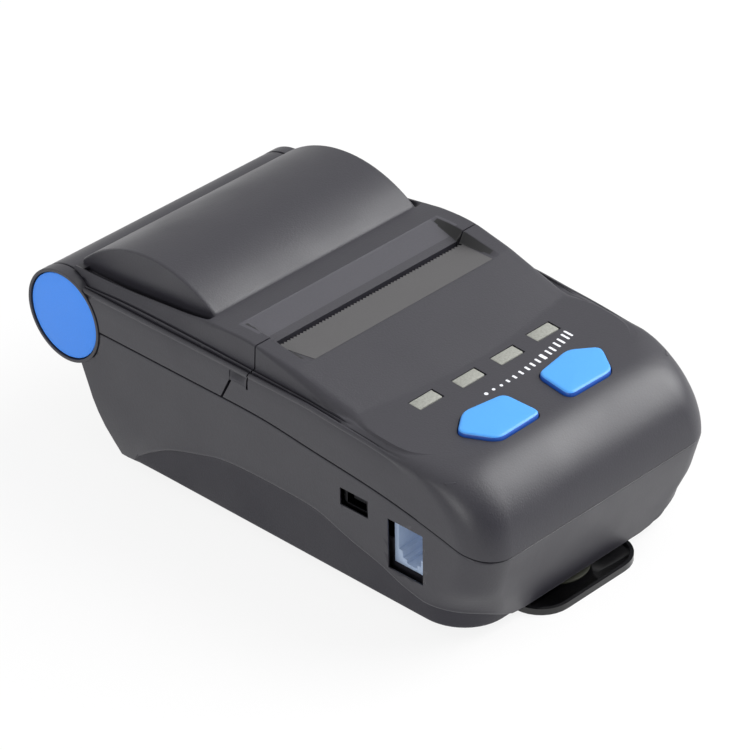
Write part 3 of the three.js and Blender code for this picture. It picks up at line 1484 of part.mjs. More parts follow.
for (const [side, word] of sides) {
  add(`${word}_button`, crownedCap(side), 'buttons');
  add(`${word}_switch`, switchBody(side), 'inner');
  add(`${word}_plunger`, plunger(side), 'rubber');
}
windowSpots.forEach((spot, index) => add(`light_window_${index + 1}`, lightWindow(spot), 'window'));
add('belt_clip', beltClip(), 'clip');
add('clip_pin', clipPin(), 'steel');
add('clip_spring', clipSpring(), 'steel');
add('clip_pad', gripPad(), 'pad');
postSpots.forEach(([x, y], index) => (
  add(`case_screw_${index + 1}`, screwBody(x, y, caseHeadZ, caseScrewLength), 'steel')
));
frameSpots.forEach(([x, y], index) => {
  add(`frame_screw_${index + 1}`, screwBody(x, y, frameScrewHead, frameScrewLength, -1), 'steel');
});
bracketSpots.forEach(([x, y], index) => {
  add(`bracket_screw_${index + 1}`, screwBody(x, y, bracketScrewHead, bracketScrewLength), 'steel');
});

// Origin: bottom centre of the whole printer's box
printer.position.set(0, (noseReach - (hingeY + knuckleRadius)) / 2, clipDrop);

export default printer;
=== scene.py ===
"""Looks of a portable receipt printer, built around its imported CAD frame."""

import json
import math

import bmesh
import bpy
from mathutils import Matrix, Vector

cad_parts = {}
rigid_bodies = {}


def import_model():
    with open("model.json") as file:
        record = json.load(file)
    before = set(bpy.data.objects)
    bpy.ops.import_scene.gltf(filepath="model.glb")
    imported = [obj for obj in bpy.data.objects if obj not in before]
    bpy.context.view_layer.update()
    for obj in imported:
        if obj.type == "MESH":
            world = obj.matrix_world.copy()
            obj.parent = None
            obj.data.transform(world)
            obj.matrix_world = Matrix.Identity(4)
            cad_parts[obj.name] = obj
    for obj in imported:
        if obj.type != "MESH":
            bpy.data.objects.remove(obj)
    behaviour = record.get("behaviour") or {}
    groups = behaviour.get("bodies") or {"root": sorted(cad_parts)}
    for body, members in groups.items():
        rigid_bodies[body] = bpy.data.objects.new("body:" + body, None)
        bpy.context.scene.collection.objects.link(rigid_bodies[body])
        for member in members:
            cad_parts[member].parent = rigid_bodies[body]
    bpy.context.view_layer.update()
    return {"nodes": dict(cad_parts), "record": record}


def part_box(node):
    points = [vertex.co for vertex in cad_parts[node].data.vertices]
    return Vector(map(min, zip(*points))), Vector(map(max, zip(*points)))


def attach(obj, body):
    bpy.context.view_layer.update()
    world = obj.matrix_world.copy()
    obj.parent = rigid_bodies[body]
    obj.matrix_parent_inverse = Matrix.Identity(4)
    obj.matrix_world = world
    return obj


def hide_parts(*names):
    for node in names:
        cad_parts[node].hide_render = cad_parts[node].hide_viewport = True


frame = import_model()

bl_info = {
    "name": "Portable receipt printer",
    "version": (1, 0, 0),
    "blender": (4, 5, 0),
    "location": "View3D > Sidebar > Printer",
    "description": "Builds the casing, cover, buttons, clip and finishes of a receipt printer",
    "category": "Object",
}

MM = 0.001

# The body's datum: middle of the width, near the paper slot, underside of the base.
# Shapes below are written from it in millimetres.
NOSE_REACH = 78
BOARD_HEIGHT = 24.8
datum = Vector((
    0,
    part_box("front_shell")[0].y + NOSE_REACH * MM,
    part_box("main_board")[0].z - BOARD_HEIGHT * MM,
))

SIDE_HALF = 38  # side walls
BASE_HALF = 36.5  # underside
BASE_REACH = 71.6
WALL = 2
SEAM = 0.35
INNER_CLEAR = 0.05
FOOT_ROUND = 0.9  # rounding along the underside
LIP = 0.35  # thickness left of the wall round the sockets' openings
OUTSIDE = 42  # where sideways cutters end, outside the walls

# Lines measured along the body: (place along Y, height)
PARTING_LINE = [
    (60, 32), (9.4, 32), (-10.7, 31.85), (-26.4, 30.4), (-46.5, 28.4), (-62.3, 25.7), (-78, 22),
]
CREASE_LINE = [
    (33, 0.3), (31.8, 1.8), (25.9, 5.9), (19.1, 9.6), (9.2, 12.9), (2.65, 14.7), (-6.9, 15.45),
    (-22.5, 15.4), (-28.7, 14.7), (-37.8, 11.7), (-46.8, 9.4), (-52.75, 7.2), (-57.2, 6.1),
    (-61.65, 5.4), (-78, 4.6),
]
REAR_LINE = [
    (0, 37.4), (0.4, 37.8), (2.6, 39), (5.35, 40.9), (7.5, 42.2), (9.65, 43.4), (12.1, 44.7),
    (15.9, 46.2), (18.5, 47.1), (20.5, 48.2), (34, 51.4),
]
RAIL_LINE = [
    (60, 41.7), (-23, 41.7), (-34, 40.95), (-41.5, 40.45), (-47.4, 39.9), (-53.3, 39.25),
    (-56, 38.8),
]
FOOT_LINE = [
    (60, 41.8), (45, 41.9), (35, 42.8), (25.6, 43.1), (9.6, 42.95), (-7.3, 42.4), (-21.5, 41.9),
    (-32, 41.4), (-41.5, 40.9), (-50, 40.2), (-56, 39.4),
]
SHOULDER_LINE = [
    (60, 44.3), (44.6, 44.5), (33, 45.1), (23, 46), (13.6, 46.9), (7.2, 47.75), (1, 47.85),
    (-8, 47.5), (-15, 46.1), (-21, 44.8), (-27, 43.3), (-33, 42.0), (-37, 41.45), (-50, 40.6),
]
STRIP_LINE = [
    (60, 44.3), (51.4, 44.37), (44.6, 44.58), (33.1, 45.08), (23.4, 45.97), (13.7, 46.9),
    (7.25, 47.87), (1.4, 48.25), (-3.6, 48.4), (-7.7, 48.1), (-12.9, 47.3), (-19, 46.3),
    (-26, 44.5), (-38.4, 41.75), (-50, 40.84),
]
PANEL_FRONT = -62
PANEL_HEIGHT = 40
PANEL_SLOPE = 0.07
RIDGE_Y = -19
RIDGE_HEIGHT = 46.3
RECESS_REAR = 1.4
RECESS_REAR_HEIGHT = 48.2
RECESS_FLOOR = 45.6
SLOT_Y = -8.1
SLOT_HALF = 29.5
RECESS_FOOT = 29.7
RECESS_RIM = 31
CREASE_MIDDLE = -40.2
CREASE_BEND = 0.0036  # the panel crease curves back by this much per square millimetre

HINGE_Y = 52.9
HINGE_Z = 31.7
BARREL_RADIUS = 11.7
BARREL_HALF = 34.6
KNUCKLE_RADIUS = 11.75
KNUCKLE_INNER = 35
KNUCKLE_OUTER = 38.2
DISC_RADIUS = 10.7
DISC_FACE = 38
DISC_THICKNESS = 0.9
DISC_PLAY = 0.22
DISC_RIM = 0.35  # the rim begins to round this far under the face
DISC_ROUND = 0.2
DISC_CROWN = 0.15
HOOD_REAR = 51.4

DOME_FRONT = (8.1, 47.35)
DOME_TOP = (29.2, 54.1)
DOME_REAR = (51.4, 45)
GUTTER_LINE = [(60, 42.9), (45, 42.9), (19.5, 43), (14, 44.2), (11, 45.2), (9.2, 46.6), (8.1, 47.8)]

NOSE_LOW = 22
NOSE_LENGTH = 16
NOSE_HEIGHT = 18
NOSE_CORNER = 8.5
TOP_CORNER = 13
BASE_CORNER = 12
SHOULDER_X = 35.7
SHOULDER_INNER = 34.85  # inner end of the shoulder's climb
SHOULDER_ROUND = 2.4
RAIL_INNER = 37.3
NOSE_REAR = 20  # where its rings end, and the level under them
NOSE_FLOOR = 12
NOSE_JOIN = -58  # where the sections behind meet the rings of the nose
REAR_BLEND = (2, 14)  # between these places the edge changes to its form beside the dome
SHELL_FACES = 3000  # a shell with fewer has lost its walls
JOINT_Y = -7.6  # joint between cover and front casing over the strip
NOTCH_TOP = 40.4
TONGUE_TOP = 38.1

SCREW_PLACES = [(x, y) for x in (-30.5, 30.5) for y in (-64, -32)]
# Openings in the left wall: low and high corner as (y, z)
CHARGING_MOUTH = ((-43.4, 20.2), (-35, 24.7))
JACK_MOUTH = ((-59.65, 10.25), (-49.3, 23.1))
WINDOWS = [(-18.6, -42.5), (-5.85, -43.3), (6.67, -43.25), (19.2, -42.6)]
# Right button seen from above: x0, x1, y0, y1, and its corners as shares of that box
BUTTON_BOX = (4.4, 23.5, -64, -51.7)
BUTTON_CORNERS = [(0, 0.02), (0.74, 0), (1, 0.63), (0.66, 1), (0.05, 0.86)]
BUTTON_CORNER_LENGTH = 2.2
BUTTON_SIDE_TOP = 0.25  # heights over the panel
BUTTON_ROUND = 0.8
BUTTON_CROWN = 0.25


def spot(x, y, z):
    """A place measured from the datum in millimetres, in the frame in metres."""
    return Vector((x, y, z)) * MM + datum


def along(line, place):
    """The value of a measured line at a place, on a smooth curve through its points."""
    points = sorted(line)
    if place <= points[0][0]:
        return points[0][1]
    if place >= points[-1][0]:
        return points[-1][1]
    upper = next(i for i, point in enumerate(points) if point[0] >= place)
    slopes = []
    for i in (upper - 1, upper):
        before, after = points[max(i - 1, 0)], points[min(i + 1, len(points) - 1)]
        slopes.append((after[1] - before[1]) / (after[0] - before[0]))
    (x0, z0), (x1, z1) = points[upper - 1], points[upper]
    step = x1 - x0
    t = (place - x0) / step
    return (
        z0 * (2 * t ** 3 - 3 * t ** 2 + 1) + z1 * (3 * t ** 2 - 2 * t ** 3)
        + step * (slopes[0] * (t ** 3 - 2 * t ** 2 + t) + slopes[1] * (t ** 3 - t ** 2))
    )


def clamp(value):
    """The value, kept between 0 and 1."""
    return min(max(value, 0), 1)


def ease(value, start, end):
    """0 before start, 1 after end, and smooth in between."""
    t = clamp((value - start) / (end - start))
    return t * t * (3 - 2 * t)


def mix(a, b, share):
    """The value at a share of the way from a to b."""
    return a + (b - a) * share


def mix_points(first, second, share):
    """The points at a share of the way from one outline to another of the same length."""
    return [
        (mix(a[0], b[0], share), mix(a[1], b[1], share)) for a, b in zip(first, second, strict=True)
    ]


def drop(over):
    """How far a quarter round has dropped at a share of its width, as a share of its radius."""
    return 1 - math.sqrt(max(1 - over * over, 0))


def quarter(count):
    """Sine and cosine of the angles from 0 to 90 degrees, in this many even steps."""
    angles = [math.pi / 2 * step / count for step in range(count + 1)]
    return [(math.sin(angle), math.cos(angle)) for angle in angles]


def circle_through(a, b, c):
    """Centre and radius of the circle through three points."""
    d = 2 * (a[0] * (b[1] - c[1]) + b[0] * (c[1] - a[1]) + c[0] * (a[1] - b[1]))
    squares = [p[0] ** 2 + p[1] ** 2 for p in (a, b, c)]
    y = (squares[0] * (b[1] - c[1]) + squares[1] * (c[1] - a[1]) + squares[2] * (a[1] - b[1])) / d
    z = (squares[0] * (c[0] - b[0]) + squares[1] * (a[0] - c[0]) + squares[2] * (b[0] - a[0])) / d
    return y, z, math.hypot(a[0] - y, a[1] - z)


DOME = circle_through(DOME_FRONT, DOME_TOP, DOME_REAR)


# Modelling steps


def select_only(*pieces):
    """Selects these objects alone, the first of them active."""
    for item in bpy.context.view_layer.objects:
        item.select_set(False)
    for piece in pieces:
        piece.select_set(True)
    bpy.context.view_layer.objects.active = pieces[0] if pieces else None


def named(name):
    """The object just made, named and with its place, turn and scale put into its mesh."""
    piece = bpy.context.object
    piece.name = piece.data.name = name
    select_only(piece)
    bpy.ops.object.transform_apply(location=True, rotation=True, scale=True)
    return piece


def loft(name, rings):
    """A flat outline extruded from ring to ring, each new ring moved to its place."""
    select_only()
    bpy.ops.mesh.primitive_circle_add(vertices=len(rings[0]), radius=MM, fill_type="NGON")
    mesh = bpy.context.object.data
    bpy.ops.object.mode_set(mode="EDIT")
    for number, ring in enumerate(rings):
        if number:
            bpy.ops.mesh.extrude_region_move()
        edited = bmesh.from_edit_mesh(mesh)
        moved = [vertex for vertex in edited.verts if vertex.select]
        for vertex, point in zip(moved, ring):
            vertex.co = point
        bmesh.update_edit_mesh(mesh)
    bpy.ops.mesh.select_all(action="SELECT")
    bpy.ops.mesh.remove_doubles(threshold=0.002 * MM)
    bpy.ops.mesh.normals_make_consistent(inside=False)
    bpy.ops.object.mode_set(mode="OBJECT")
    return named(name)


def block(name, low, high):
    """A box between two corners, measured from the datum."""
    select_only()
    middle = [mix(a, b, 0.5) for a, b in zip(low, high)]
    size = [(b - a) * MM for a, b in zip(low, high)]
    bpy.ops.mesh.primitive_cube_add(size=1, location=spot(*middle), scale=size)
    return named(name)


def rod(name, radius, length, place, turn=(0, 0, 0), sides=128):
    """A rod about its middle, upright unless turned."""
    select_only()
    bpy.ops.mesh.primitive_cylinder_add(
        vertices=sides, radius=radius * MM, depth=length * MM, location=place, rotation=turn,
    )
    return named(name)


def hinge_rod(name, radius, start, end):
    """A rod about the hinge's axis between two places along X."""
    place = spot(mix(start, end, 0.5), HINGE_Y, HINGE_Z)
    return rod(name, radius, abs(end - start), place, (0, math.pi / 2, 0))


def prism(name, axis, outline, start, end):
    """An outline across the X, Y or Z axis, with its points in that order, carried along it."""
    before = "XYZ".index(axis)
    return loft(name, [
        [spot(*point[:before], place, *point[before:]) for point in outline]
        for place in (start, end)
    ])


def room_inside(half, start, end):
    """The room inside a shell: a half outline seen from the front, mirrored and carried along Y."""
    return prism("room_inside", "Y", [(-x, z) for x, z in half] + half[::-1], start, end)


def modify(piece, kind, **settings):
    """Adds a modifier with its settings and applies it."""
    modifier = piece.modifiers.new(kind, kind)
    for name, value in settings.items():
        setattr(modifier, name, value)
    select_only(piece)
    bpy.ops.object.modifier_apply(modifier=modifier.name)


def carve(piece, cutter, operation="DIFFERENCE"):
    """Cuts one solid out of another, or keeps what the two share, with an applied Boolean."""
    modify(piece, "BOOLEAN", operation=operation, solver="EXACT", object=cutter)
    bpy.data.objects.remove(cutter)
    return piece


def soften(piece, width, segments=2, angle=35):
    """Rounds the sharp edges with an applied Bevel modifier."""
    modify(
        piece, "BEVEL", width=width * MM, segments=segments, limit_method="ANGLE",
        angle_limit=math.radians(angle), use_clamp_overlap=True,
    )


def smooth(piece, angle=32):
    """Smooth shading, with edges sharper than the angle kept."""
    select_only(piece)
    bpy.ops.object.shade_smooth_by_angle(angle=math.radians(angle))


def join(first, *others):
    """Makes several meshes one piece."""
    select_only(first, *others)
    bpy.ops.object.join()


def copy_of_node(node, name):
    """A merged copy of a CAD node's mesh, with its flat faces made whole again."""
    mesh = frame["nodes"][node].data.copy()
    mesh.name = name
    piece = bpy.data.objects.new(name, mesh)
    bpy.context.scene.collection.objects.link(piece)
    mesh.materials.clear()
    select_only(piece)
    bpy.ops.object.mode_set(mode="EDIT")
    bpy.ops.mesh.select_all(action="SELECT")
    bpy.ops.mesh.remove_doubles(threshold=0.001 * MM)
    bpy.ops.mesh.dissolve_limited(angle_limit=math.radians(0.5))
    bpy.ops.object.mode_set(mode="OBJECT")
    return piece


def part_of_node(node, room):
    """What a CAD node has inside a room, as a solid to join to its new skin."""
    return carve(copy_of_node(node, "part_of_node"), room, "INTERSECT")


def need(done, what):
    """Stops the script where a step did not give what it should."""
    if not done:
        raise RuntimeError(what)


def dress(piece, finish, body, replaces=()):
    """Gives a finished piece its finish and its place in the frame."""
    need(piece.data.polygons, f"{piece.name} has no faces")
    piece.data.materials.clear()
    piece.data.materials.append(finishes[finish])
    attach(piece, body)
    if replaces:
        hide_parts(*replaces)


def finish_shell(shell, body, node):
    """Shades and dresses a part of the casing, with its large flat faces kept flat."""
    smooth(shell)
    modify(shell, "WEIGHTED_NORMAL", keep_sharp=True)
    need(len(shell.data.polygons) > SHELL_FACES, f"{shell.name} lost its walls")
    dress(shell, "casing", body, [node])


def paint(piece, finish, chosen):
    """Gives another finish to the faces chosen by their middle in millimetres and their normal."""
    piece.data.materials.append(finishes[finish])
    index = len(piece.data.materials) - 1
    for face in piece.data.polygons:
        if chosen(*(face.center - datum) / MM, face.normal):
            face.material_index = index


# Materials


def linear(code):
    """An sRGB hex colour as linear values."""
    values = [int(code[i:i + 2], 16) / 255 for i in (1, 3, 5)]
    return [v / 12.92 if v <= 0.04045 else ((v + 0.055) / 1.055) ** 2.4 for v in values] + [1]


def shade(colour, share):
    """A linear colour made darker or lighter by a share."""
    return [v * share for v in colour[:3]] + [1]


def add_node(tree, kind, values=None, links=None, **settings):
    """Adds a node with its settings, socket values and links."""
    made = tree.nodes.new("ShaderNode" + kind)
    for name, value in settings.items():
        setattr(made, name, value)
    for name, value in (values or {}).items():
        made.inputs[name].default_value = value
    for name, source in (links or {}).items():
        tree.links.new(source, made.inputs[name])
    return made


def new_material(name):
    """An empty node material, its output and the place on the piece."""
    material = bpy.data.materials.new(name)
    material.use_nodes = True
    tree = material.node_tree
    tree.nodes.clear()
    output = add_node(tree, "OutputMaterial")
    return material, tree, output, add_node(tree, "TexCoord").outputs["Object"]


def moulded_plastic(name, colour, roughness, grain, depth, mottle, specular=0.5):
    """Moulded plastic: a spark-eroded grain in the surface and a slightly uneven gloss."""
    material, tree, output, place = new_material(name)
    fine = add_node(
        tree, "TexNoise", {"Scale": 1 / (grain * MM), "Detail": 2, "Roughness": 0.6},
        {"Vector": place},
    ).outputs["Fac"]
    broad = add_node(tree, "TexNoise", {"Scale": 1 / (14 * MM), "Detail": 3}, {"Vector": place})
    ramp = add_node(tree, "ValToRGB", None, {"Fac": fine})
    ends = ramp.color_ramp.elements
    for end, position, side in ((ends[0], 0.3, -1), (ends[1], 0.7, 1)):
        end.position = position
        end.color = shade(linear(colour), 1 + side * mottle)
    gloss = add_node(
        tree, "MapRange",
        {"From Min": 0.3, "From Max": 0.7, "To Min": roughness - 0.04, "To Max": roughness + 0.05},
        {"Value": broad.outputs["Fac"]},
    ).outputs["Result"]
    bump = add_node(tree, "Bump", {"Strength": 1, "Distance": depth * MM}, {"Height": fine})
    shader = add_node(
        tree, "BsdfPrincipled", {"Specular IOR Level": specular, "IOR": 1.53},
        {"Base Color": ramp.outputs["Color"], "Roughness": gloss, "Normal": bump.outputs["Normal"]},
    )
    tree.links.new(shader.outputs["BSDF"], output.inputs["Surface"])
    return material


def metal(name, colour, roughness, line, depth):
    """Metal with fine drawn or rolled lines along X."""
    material, tree, output, place = new_material(name)
    squeeze = add_node(tree, "Mapping", {"Scale": (1, 14, 14)}, {"Vector": place})
    lines = add_node(
        tree, "TexNoise", {"Scale": 1 / (line * MM), "Detail": 3},
        {"Vector": squeeze.outputs["Vector"]},
    ).outputs["Fac"]
    gloss = add_node(
        tree, "MapRange",
        {"From Min": 0.3, "From Max": 0.7, "To Min": roughness - 0.06, "To Max": roughness + 0.08},
        {"Value": lines},
    ).outputs["Result"]
    ramp = add_node(tree, "ValToRGB", None, {"Fac": lines})
    ramp.color_ramp.elements[0].color = shade(linear(colour), 0.86)
    ramp.color_ramp.elements[1].color = linear(colour)
    bump = add_node(tree, "Bump", {"Strength": 0.6, "Distance": depth * MM}, {"Height": lines})
    shader = add_node(
        tree, "BsdfPrincipled", {"Metallic": 1},
        {"Base Color": ramp.outputs["Color"], "Roughness": gloss, "Normal": bump.outputs["Normal"]},
    )
    tree.links.new(shader.outputs["BSDF"], output.inputs["Surface"])
    return material


def circuit_board(name, mask, track):
    """Glass epoxy board under solder mask, with faint copper tracks at 2.5 mm."""
    material, tree, output, place = new_material(name)
    cells = add_node(tree, "TexBrick", {
        "Scale": 1 / (2.5 * MM), "Mortar Size": 0.06, "Brick Width": 1.7, "Row Height": 0.5,
        "Color1": linear(mask), "Color2": shade(linear(mask), 0.8), "Mortar": linear(track),
    }, {"Vector": place})
    bump = add_node(
        tree, "Bump", {"Strength": 0.5, "Distance": 0.03 * MM}, {"Height": cells.outputs["Fac"]},
    )
    shader = add_node(
        tree, "BsdfPrincipled", {"Roughness": 0.35, "IOR": 1.55},
        {"Base Color": cells.outputs["Color"], "Normal": bump.outputs["Normal"]},
    )
    tree.links.new(shader.outputs["BSDF"], output.inputs["Surface"])
    return material


def colour_property(name, description, default):
    """A colour that the sidebar shows, kept as an sRGB value."""
    return bpy.props.FloatVectorProperty(
        name=name, description=description, subtype="COLOR_GAMMA", size=3, min=0, max=1,
        default=[int(default[i:i + 2], 16) / 255 for i in (1, 3, 5)],
    )


def length_property(name, description, default):
    """A length that the sidebar shows in the scene's unit."""
    return bpy.props.FloatProperty(
        name=name, description=description, unit="LENGTH", default=default * MM,
    )


def hex_of(colour):
    """An sRGB colour property as a hex code."""
    return "#" + "".join(f"{round(value * 255):02x}" for value in colour)


class PRINTER_PG_colours(bpy.types.PropertyGroup):
    """Colours of the finishes."""

    casing: colour_property("Casing", "Charcoal ABS of the casing and cover", "#302f36")
    disc: colour_property("Disc", "Blue ABS of the hinge discs", "#348df9")
    button: colour_property("Button", "Blue ABS of the buttons", "#499ff0")
    # The buttons' darker blue sides are painted shade
    button_side_shade: colour_property("Button side", "Deep blue of the buttons' sides", "#1f55b5")
    window: colour_property("Window", "Frosted windows of the lights", "#93948d")
    ink: colour_property("Ink", "White ink of the printed marks", "#e6e8ee")
    jack: colour_property("Jack", "Pale insert of the modular jack", "#a9bbd6")
    clip: colour_property("Clip", "Black ABS of the belt clip", "#141416")


class PRINTER_PG_sizes(bpy.types.PropertyGroup):
    """Sizes of the visible pieces."""

    window_width: length_property("Window width", "Width of each light window", 7.2)
    window_depth: length_property("Window depth", "Depth of each light window", 3.3)
    mark_height: length_property("Mark height", "How far the printed marks stand up", 0.03)


finishes = {}
BODY_OF = {
    node: body for body, nodes in frame["record"]["behaviour"]["bodies"].items() for node in nodes
}

PLASTICS = [
    # finish, material, sidebar colour or hex code, roughness, grain, its depth, mottle, specular
    # Charcoal ABS with a fine spark-eroded grain: soft wide highlights and a faint sparkle
    ("casing", "textured_charcoal_abs", "casing", 0.42, 0.45, 0.035, 0.07),
    # The same ABS under the crease, made duller as painted shade: its lower gloss stands in for the
    # shade near the floor
    ("skirt", "painted_shade_charcoal_abs", "casing", 0.5, 0.45, 0.035, 0.07, 0.25),
    # Blue ABS, satin moulded: even colour with a broad soft highlight
    ("disc", "satin_blue_abs", "disc", 0.42, 0.5, 0.01, 0.02),
    ("button", "satin_light_blue_abs", "button", 0.4, 0.5, 0.01, 0.02),
    # The darker blue of the buttons' sides is painted shade
    ("button_side_shade", "painted_shade_blue_abs", "button_side_shade", 0.4, 0.5, 0.01, 0.03),
    # Frosted polycarbonate: milky grey, mottled and dull
    ("window", "frosted_polycarbonate", "window", 0.55, 0.55, 0.02, 0.16),
    # Pad-printed ink: opaque, dull white with an uneven lay-down
    ("ink", "white_pad_print_ink", "ink", 0.6, 0.3, 0.005, 0.05),
    # Nylon: slightly waxy, milk white in the gears and pale blue-grey in the jack
    ("nylon", "milk_white_nylon", "#d8d5cb", 0.42, 0.8, 0.01, 0.03),
    ("jack", "pale_blue_grey_nylon", "jack", 0.4, 0.8, 0.01, 0.03),
    # Glossy black ABS: polished mould, sharp reflections
    ("clip", "glossy_black_abs", "clip", 0.16, 1.2, 0.006, 0.1),
    # Silicone rubber: matt dark grey with a fine ground texture
    ("rubber", "ground_silicone_rubber", "#161618", 0.75, 0.3, 0.03, 0.1),
    # Inner mouldings: plain black ABS, not textured; the same black is painted shade on the
    # recess's end walls
    ("inner", "black_abs_and_painted_shade", "#161618", 0.5, 0.7, 0.015, 0.08),
    # Heat-shrink sleeve of the battery: smooth dark blue-grey film
    ("battery", "shrink_sleeve", "#2d3a4f", 0.3, 6, 0.1, 0.12),
    # Dark olive thermoplastic rubber of the grip pad
    ("pad", "olive_grip_rubber", "#2c2d22", 0.7, 0.4, 0.04, 0.12),
    # The casing's ABS with a finer texture on the recess's rear floor, in a lighter colour that is
    # painted light for the reflection it catches
    ("floor", "painted_light_fine_charcoal_abs", "#424148", 0.4, 0.45, 0.02, 0.05),
    # Tear plate: warm grey polycarbonate, smoother than the casing
    ("tear", "satin_grey_polycarbonate", "#504f50", 0.36, 0.4, 0.012, 0.04),
]
METALS = [
    # finish, material, hex code, roughness, width of the lines, their depth
    # Zinc-plated steel of the screws, pins, springs and sheet parts: bright, slightly mottled
    ("steel", "zinc_plated_steel", "#b9bcc2", 0.3, 0.8, 0.01),
    # Nickel plate of the charging socket's shell, darkened as painted shade for its deep opening
    ("socket", "shade_darkened_nickel_plate", "#2b2b2e", 0.35, 0.5, 0.01),
    # Extruded aluminium of the print head and the radio module
    ("aluminium", "extruded_aluminium", "#c4c6c9", 0.38, 0.5, 0.01),
]


def make_finishes():
    """Every finish, made once and kept by name."""
    colours = bpy.context.scene.printer_colours
    for finish, name, colour, *values in PLASTICS:
        code = colour if colour.startswith("#") else hex_of(getattr(colours, colour))
        finishes[finish] = moulded_plastic(name, code, *values)
    for finish, name, *values in METALS:
        finishes[finish] = metal(name, *values)
    # Glass epoxy board with green solder mask
    finishes["board"] = circuit_board("green_solder_mask", "#1d5a38", "#3b7d52")


# Lower casing


def casing_ring(half, front, rear, corner):
    """A closed outline seen from above, with large front and small rear corners: (x, y)."""
    small = 0.8
    right = [(mix(0, half - corner, i / 8), front) for i in range(8)]
    right += [
        (half - corner + corner * sine, front + corner - corner * cosine)
        for sine, cosine in quarter(12)
    ]
    right += [(half, mix(front + corner, rear - small, i / 48)) for i in range(1, 48)]
    right += [
        (half - small + small * cosine, rear - small + small * sine) for sine, cosine in quarter(5)
    ]
    right += [(mix(half - small, 0, i / 8), rear) for i in range(1, 9)]
    return right + [(-x, y) for x, y in right[-2:0:-1]]


def crease_at(x, y):
    """Height of the crease over the skirt: an arch along the sides that runs out at the front."""
    if y < -60:
        return mix(0.4, along(CREASE_LINE, -60), ease(abs(x), 20, 35))
    return max(along(CREASE_LINE, y), 0.3)


def wall_half(y, z):
    """Half width of the wall, which leans out over its lowest 12 mm."""
    return SIDE_HALF - 1.4 * (1 - clamp(z / 12)) ** 2 * ease(y, -60, 0)


def skirt_half(y, z):
    """Half width of the skirt under the crease, which runs into the wall at the rear."""
    skirt = BASE_HALF + (SIDE_HALF - 0.5 - BASE_HALF) * min(z / 15, 1)
    return mix(skirt, wall_half(y, z), ease(y, 22, 36))


def front_at(z):
    """Place of the sloping front at a height."""
    return -(BASE_REACH + (NOSE_REACH - BASE_REACH) * min(z / NOSE_LOW, 1))


def base_ring(height_at, half_at, step, inset):
    """A ring of the lower casing whose height follows a line along the body."""
    z_front = height_at(0, -75)
    rear_inset = inset if inset == WALL else min(inset, 0.25)
    rear = along(REAR_LINE, max(height_at(0, 45), 0)) - rear_inset
    corner = mix(BASE_CORNER, NOSE_CORNER, ease(z_front, 0, 9)) - inset
    ring = []
    for x, y in casing_ring(SIDE_HALF, front_at(z_front) + step + inset, rear, corner):
        z = height_at(x, y)
        lean = (front_at(z) - front_at(z_front)) * ease(-y, 60, 70)
        ring.append(spot(x * (half_at(y, z) - inset) / SIDE_HALF, y + lean, z))
    return ring


def lower_rings():
    """The lower casing from its underside, over its top edge and down its inside."""
    def foot(x, y):
        return min(FOOT_ROUND, crease_at(x, y) * 0.8)

    def over_crease(x, y, rise):
        return crease_at(x, y) + rise * ease(crease_at(x, y), 0.2, 3)

    def top(y):
        return along(PARTING_LINE, y) - SEAM / 2

    rings = []
    for sine, cosine in quarter(4):
        rise, edge = FOOT_ROUND * (1 - cosine), FOOT_ROUND * (1 - sine)
        rings.append(base_ring(lambda x, y: min(rise, foot(x, y)), skirt_half, 0.5, edge))
    for share in (0.25, 0.5, 0.75, 0.9, 1):
        rings.append(base_ring(
            lambda x, y: mix(foot(x, y), crease_at(x, y), share), skirt_half, 0.5, 0,
        ))
    # The wall stands out over the skirt with a soft lip
    for rise, share in ((0.08, 0.35), (0.22, 0.8), (0.42, 1), (0.7, 1.1), (1, 1.07), (1.5, 1)):
        rings.append(base_ring(
            lambda x, y: over_crease(x, y, rise),
            lambda y, z: mix(skirt_half(y, z), wall_half(y, z), share), 0.5 * (1 - share), 0,
        ))
    for share in (0.1, 0.2, 0.3, 0.4, 0.5, 0.6, 0.7, 0.8, 0.9, 0.96):
        rings.append(base_ring(
            lambda x, y: mix(over_crease(x, y, 1.5), top(y), share), wall_half, 0, 0,
        ))
    for drop_by, inset in ((0.3, 0), (0.1, 0.06), (0.02, 0.2)):
        rings.append(base_ring(lambda x, y: top(y) - drop_by, wall_half, 0, inset))
    for share in (0, 0.25, 0.5, 0.75, 1):
        rings.append(base_ring(lambda x, y: mix(top(y), WALL, share), skirt_half, 0, WALL))
    return rings


def mouth(name, low, high):
    """A socket's opening in the left wall, which widens inwards behind a thin lip."""
    edge = -SIDE_HALF + LIP
    rings = []
    for x, wide in ((edge - 0.01, 0), (-SIDE_HALF + WALL + 1.2, WALL + 1.3)):
        rear, floor = high[0] + wide, low[1] - wide
        corners = ((low[0], floor), (rear, floor), (rear, high[1]), (low[0], high[1]))
        rings.append([spot(x, y, z) for y, z in corners])
    return block(name, (-OUTSIDE, *low), (edge, *high)), loft(name, rings)


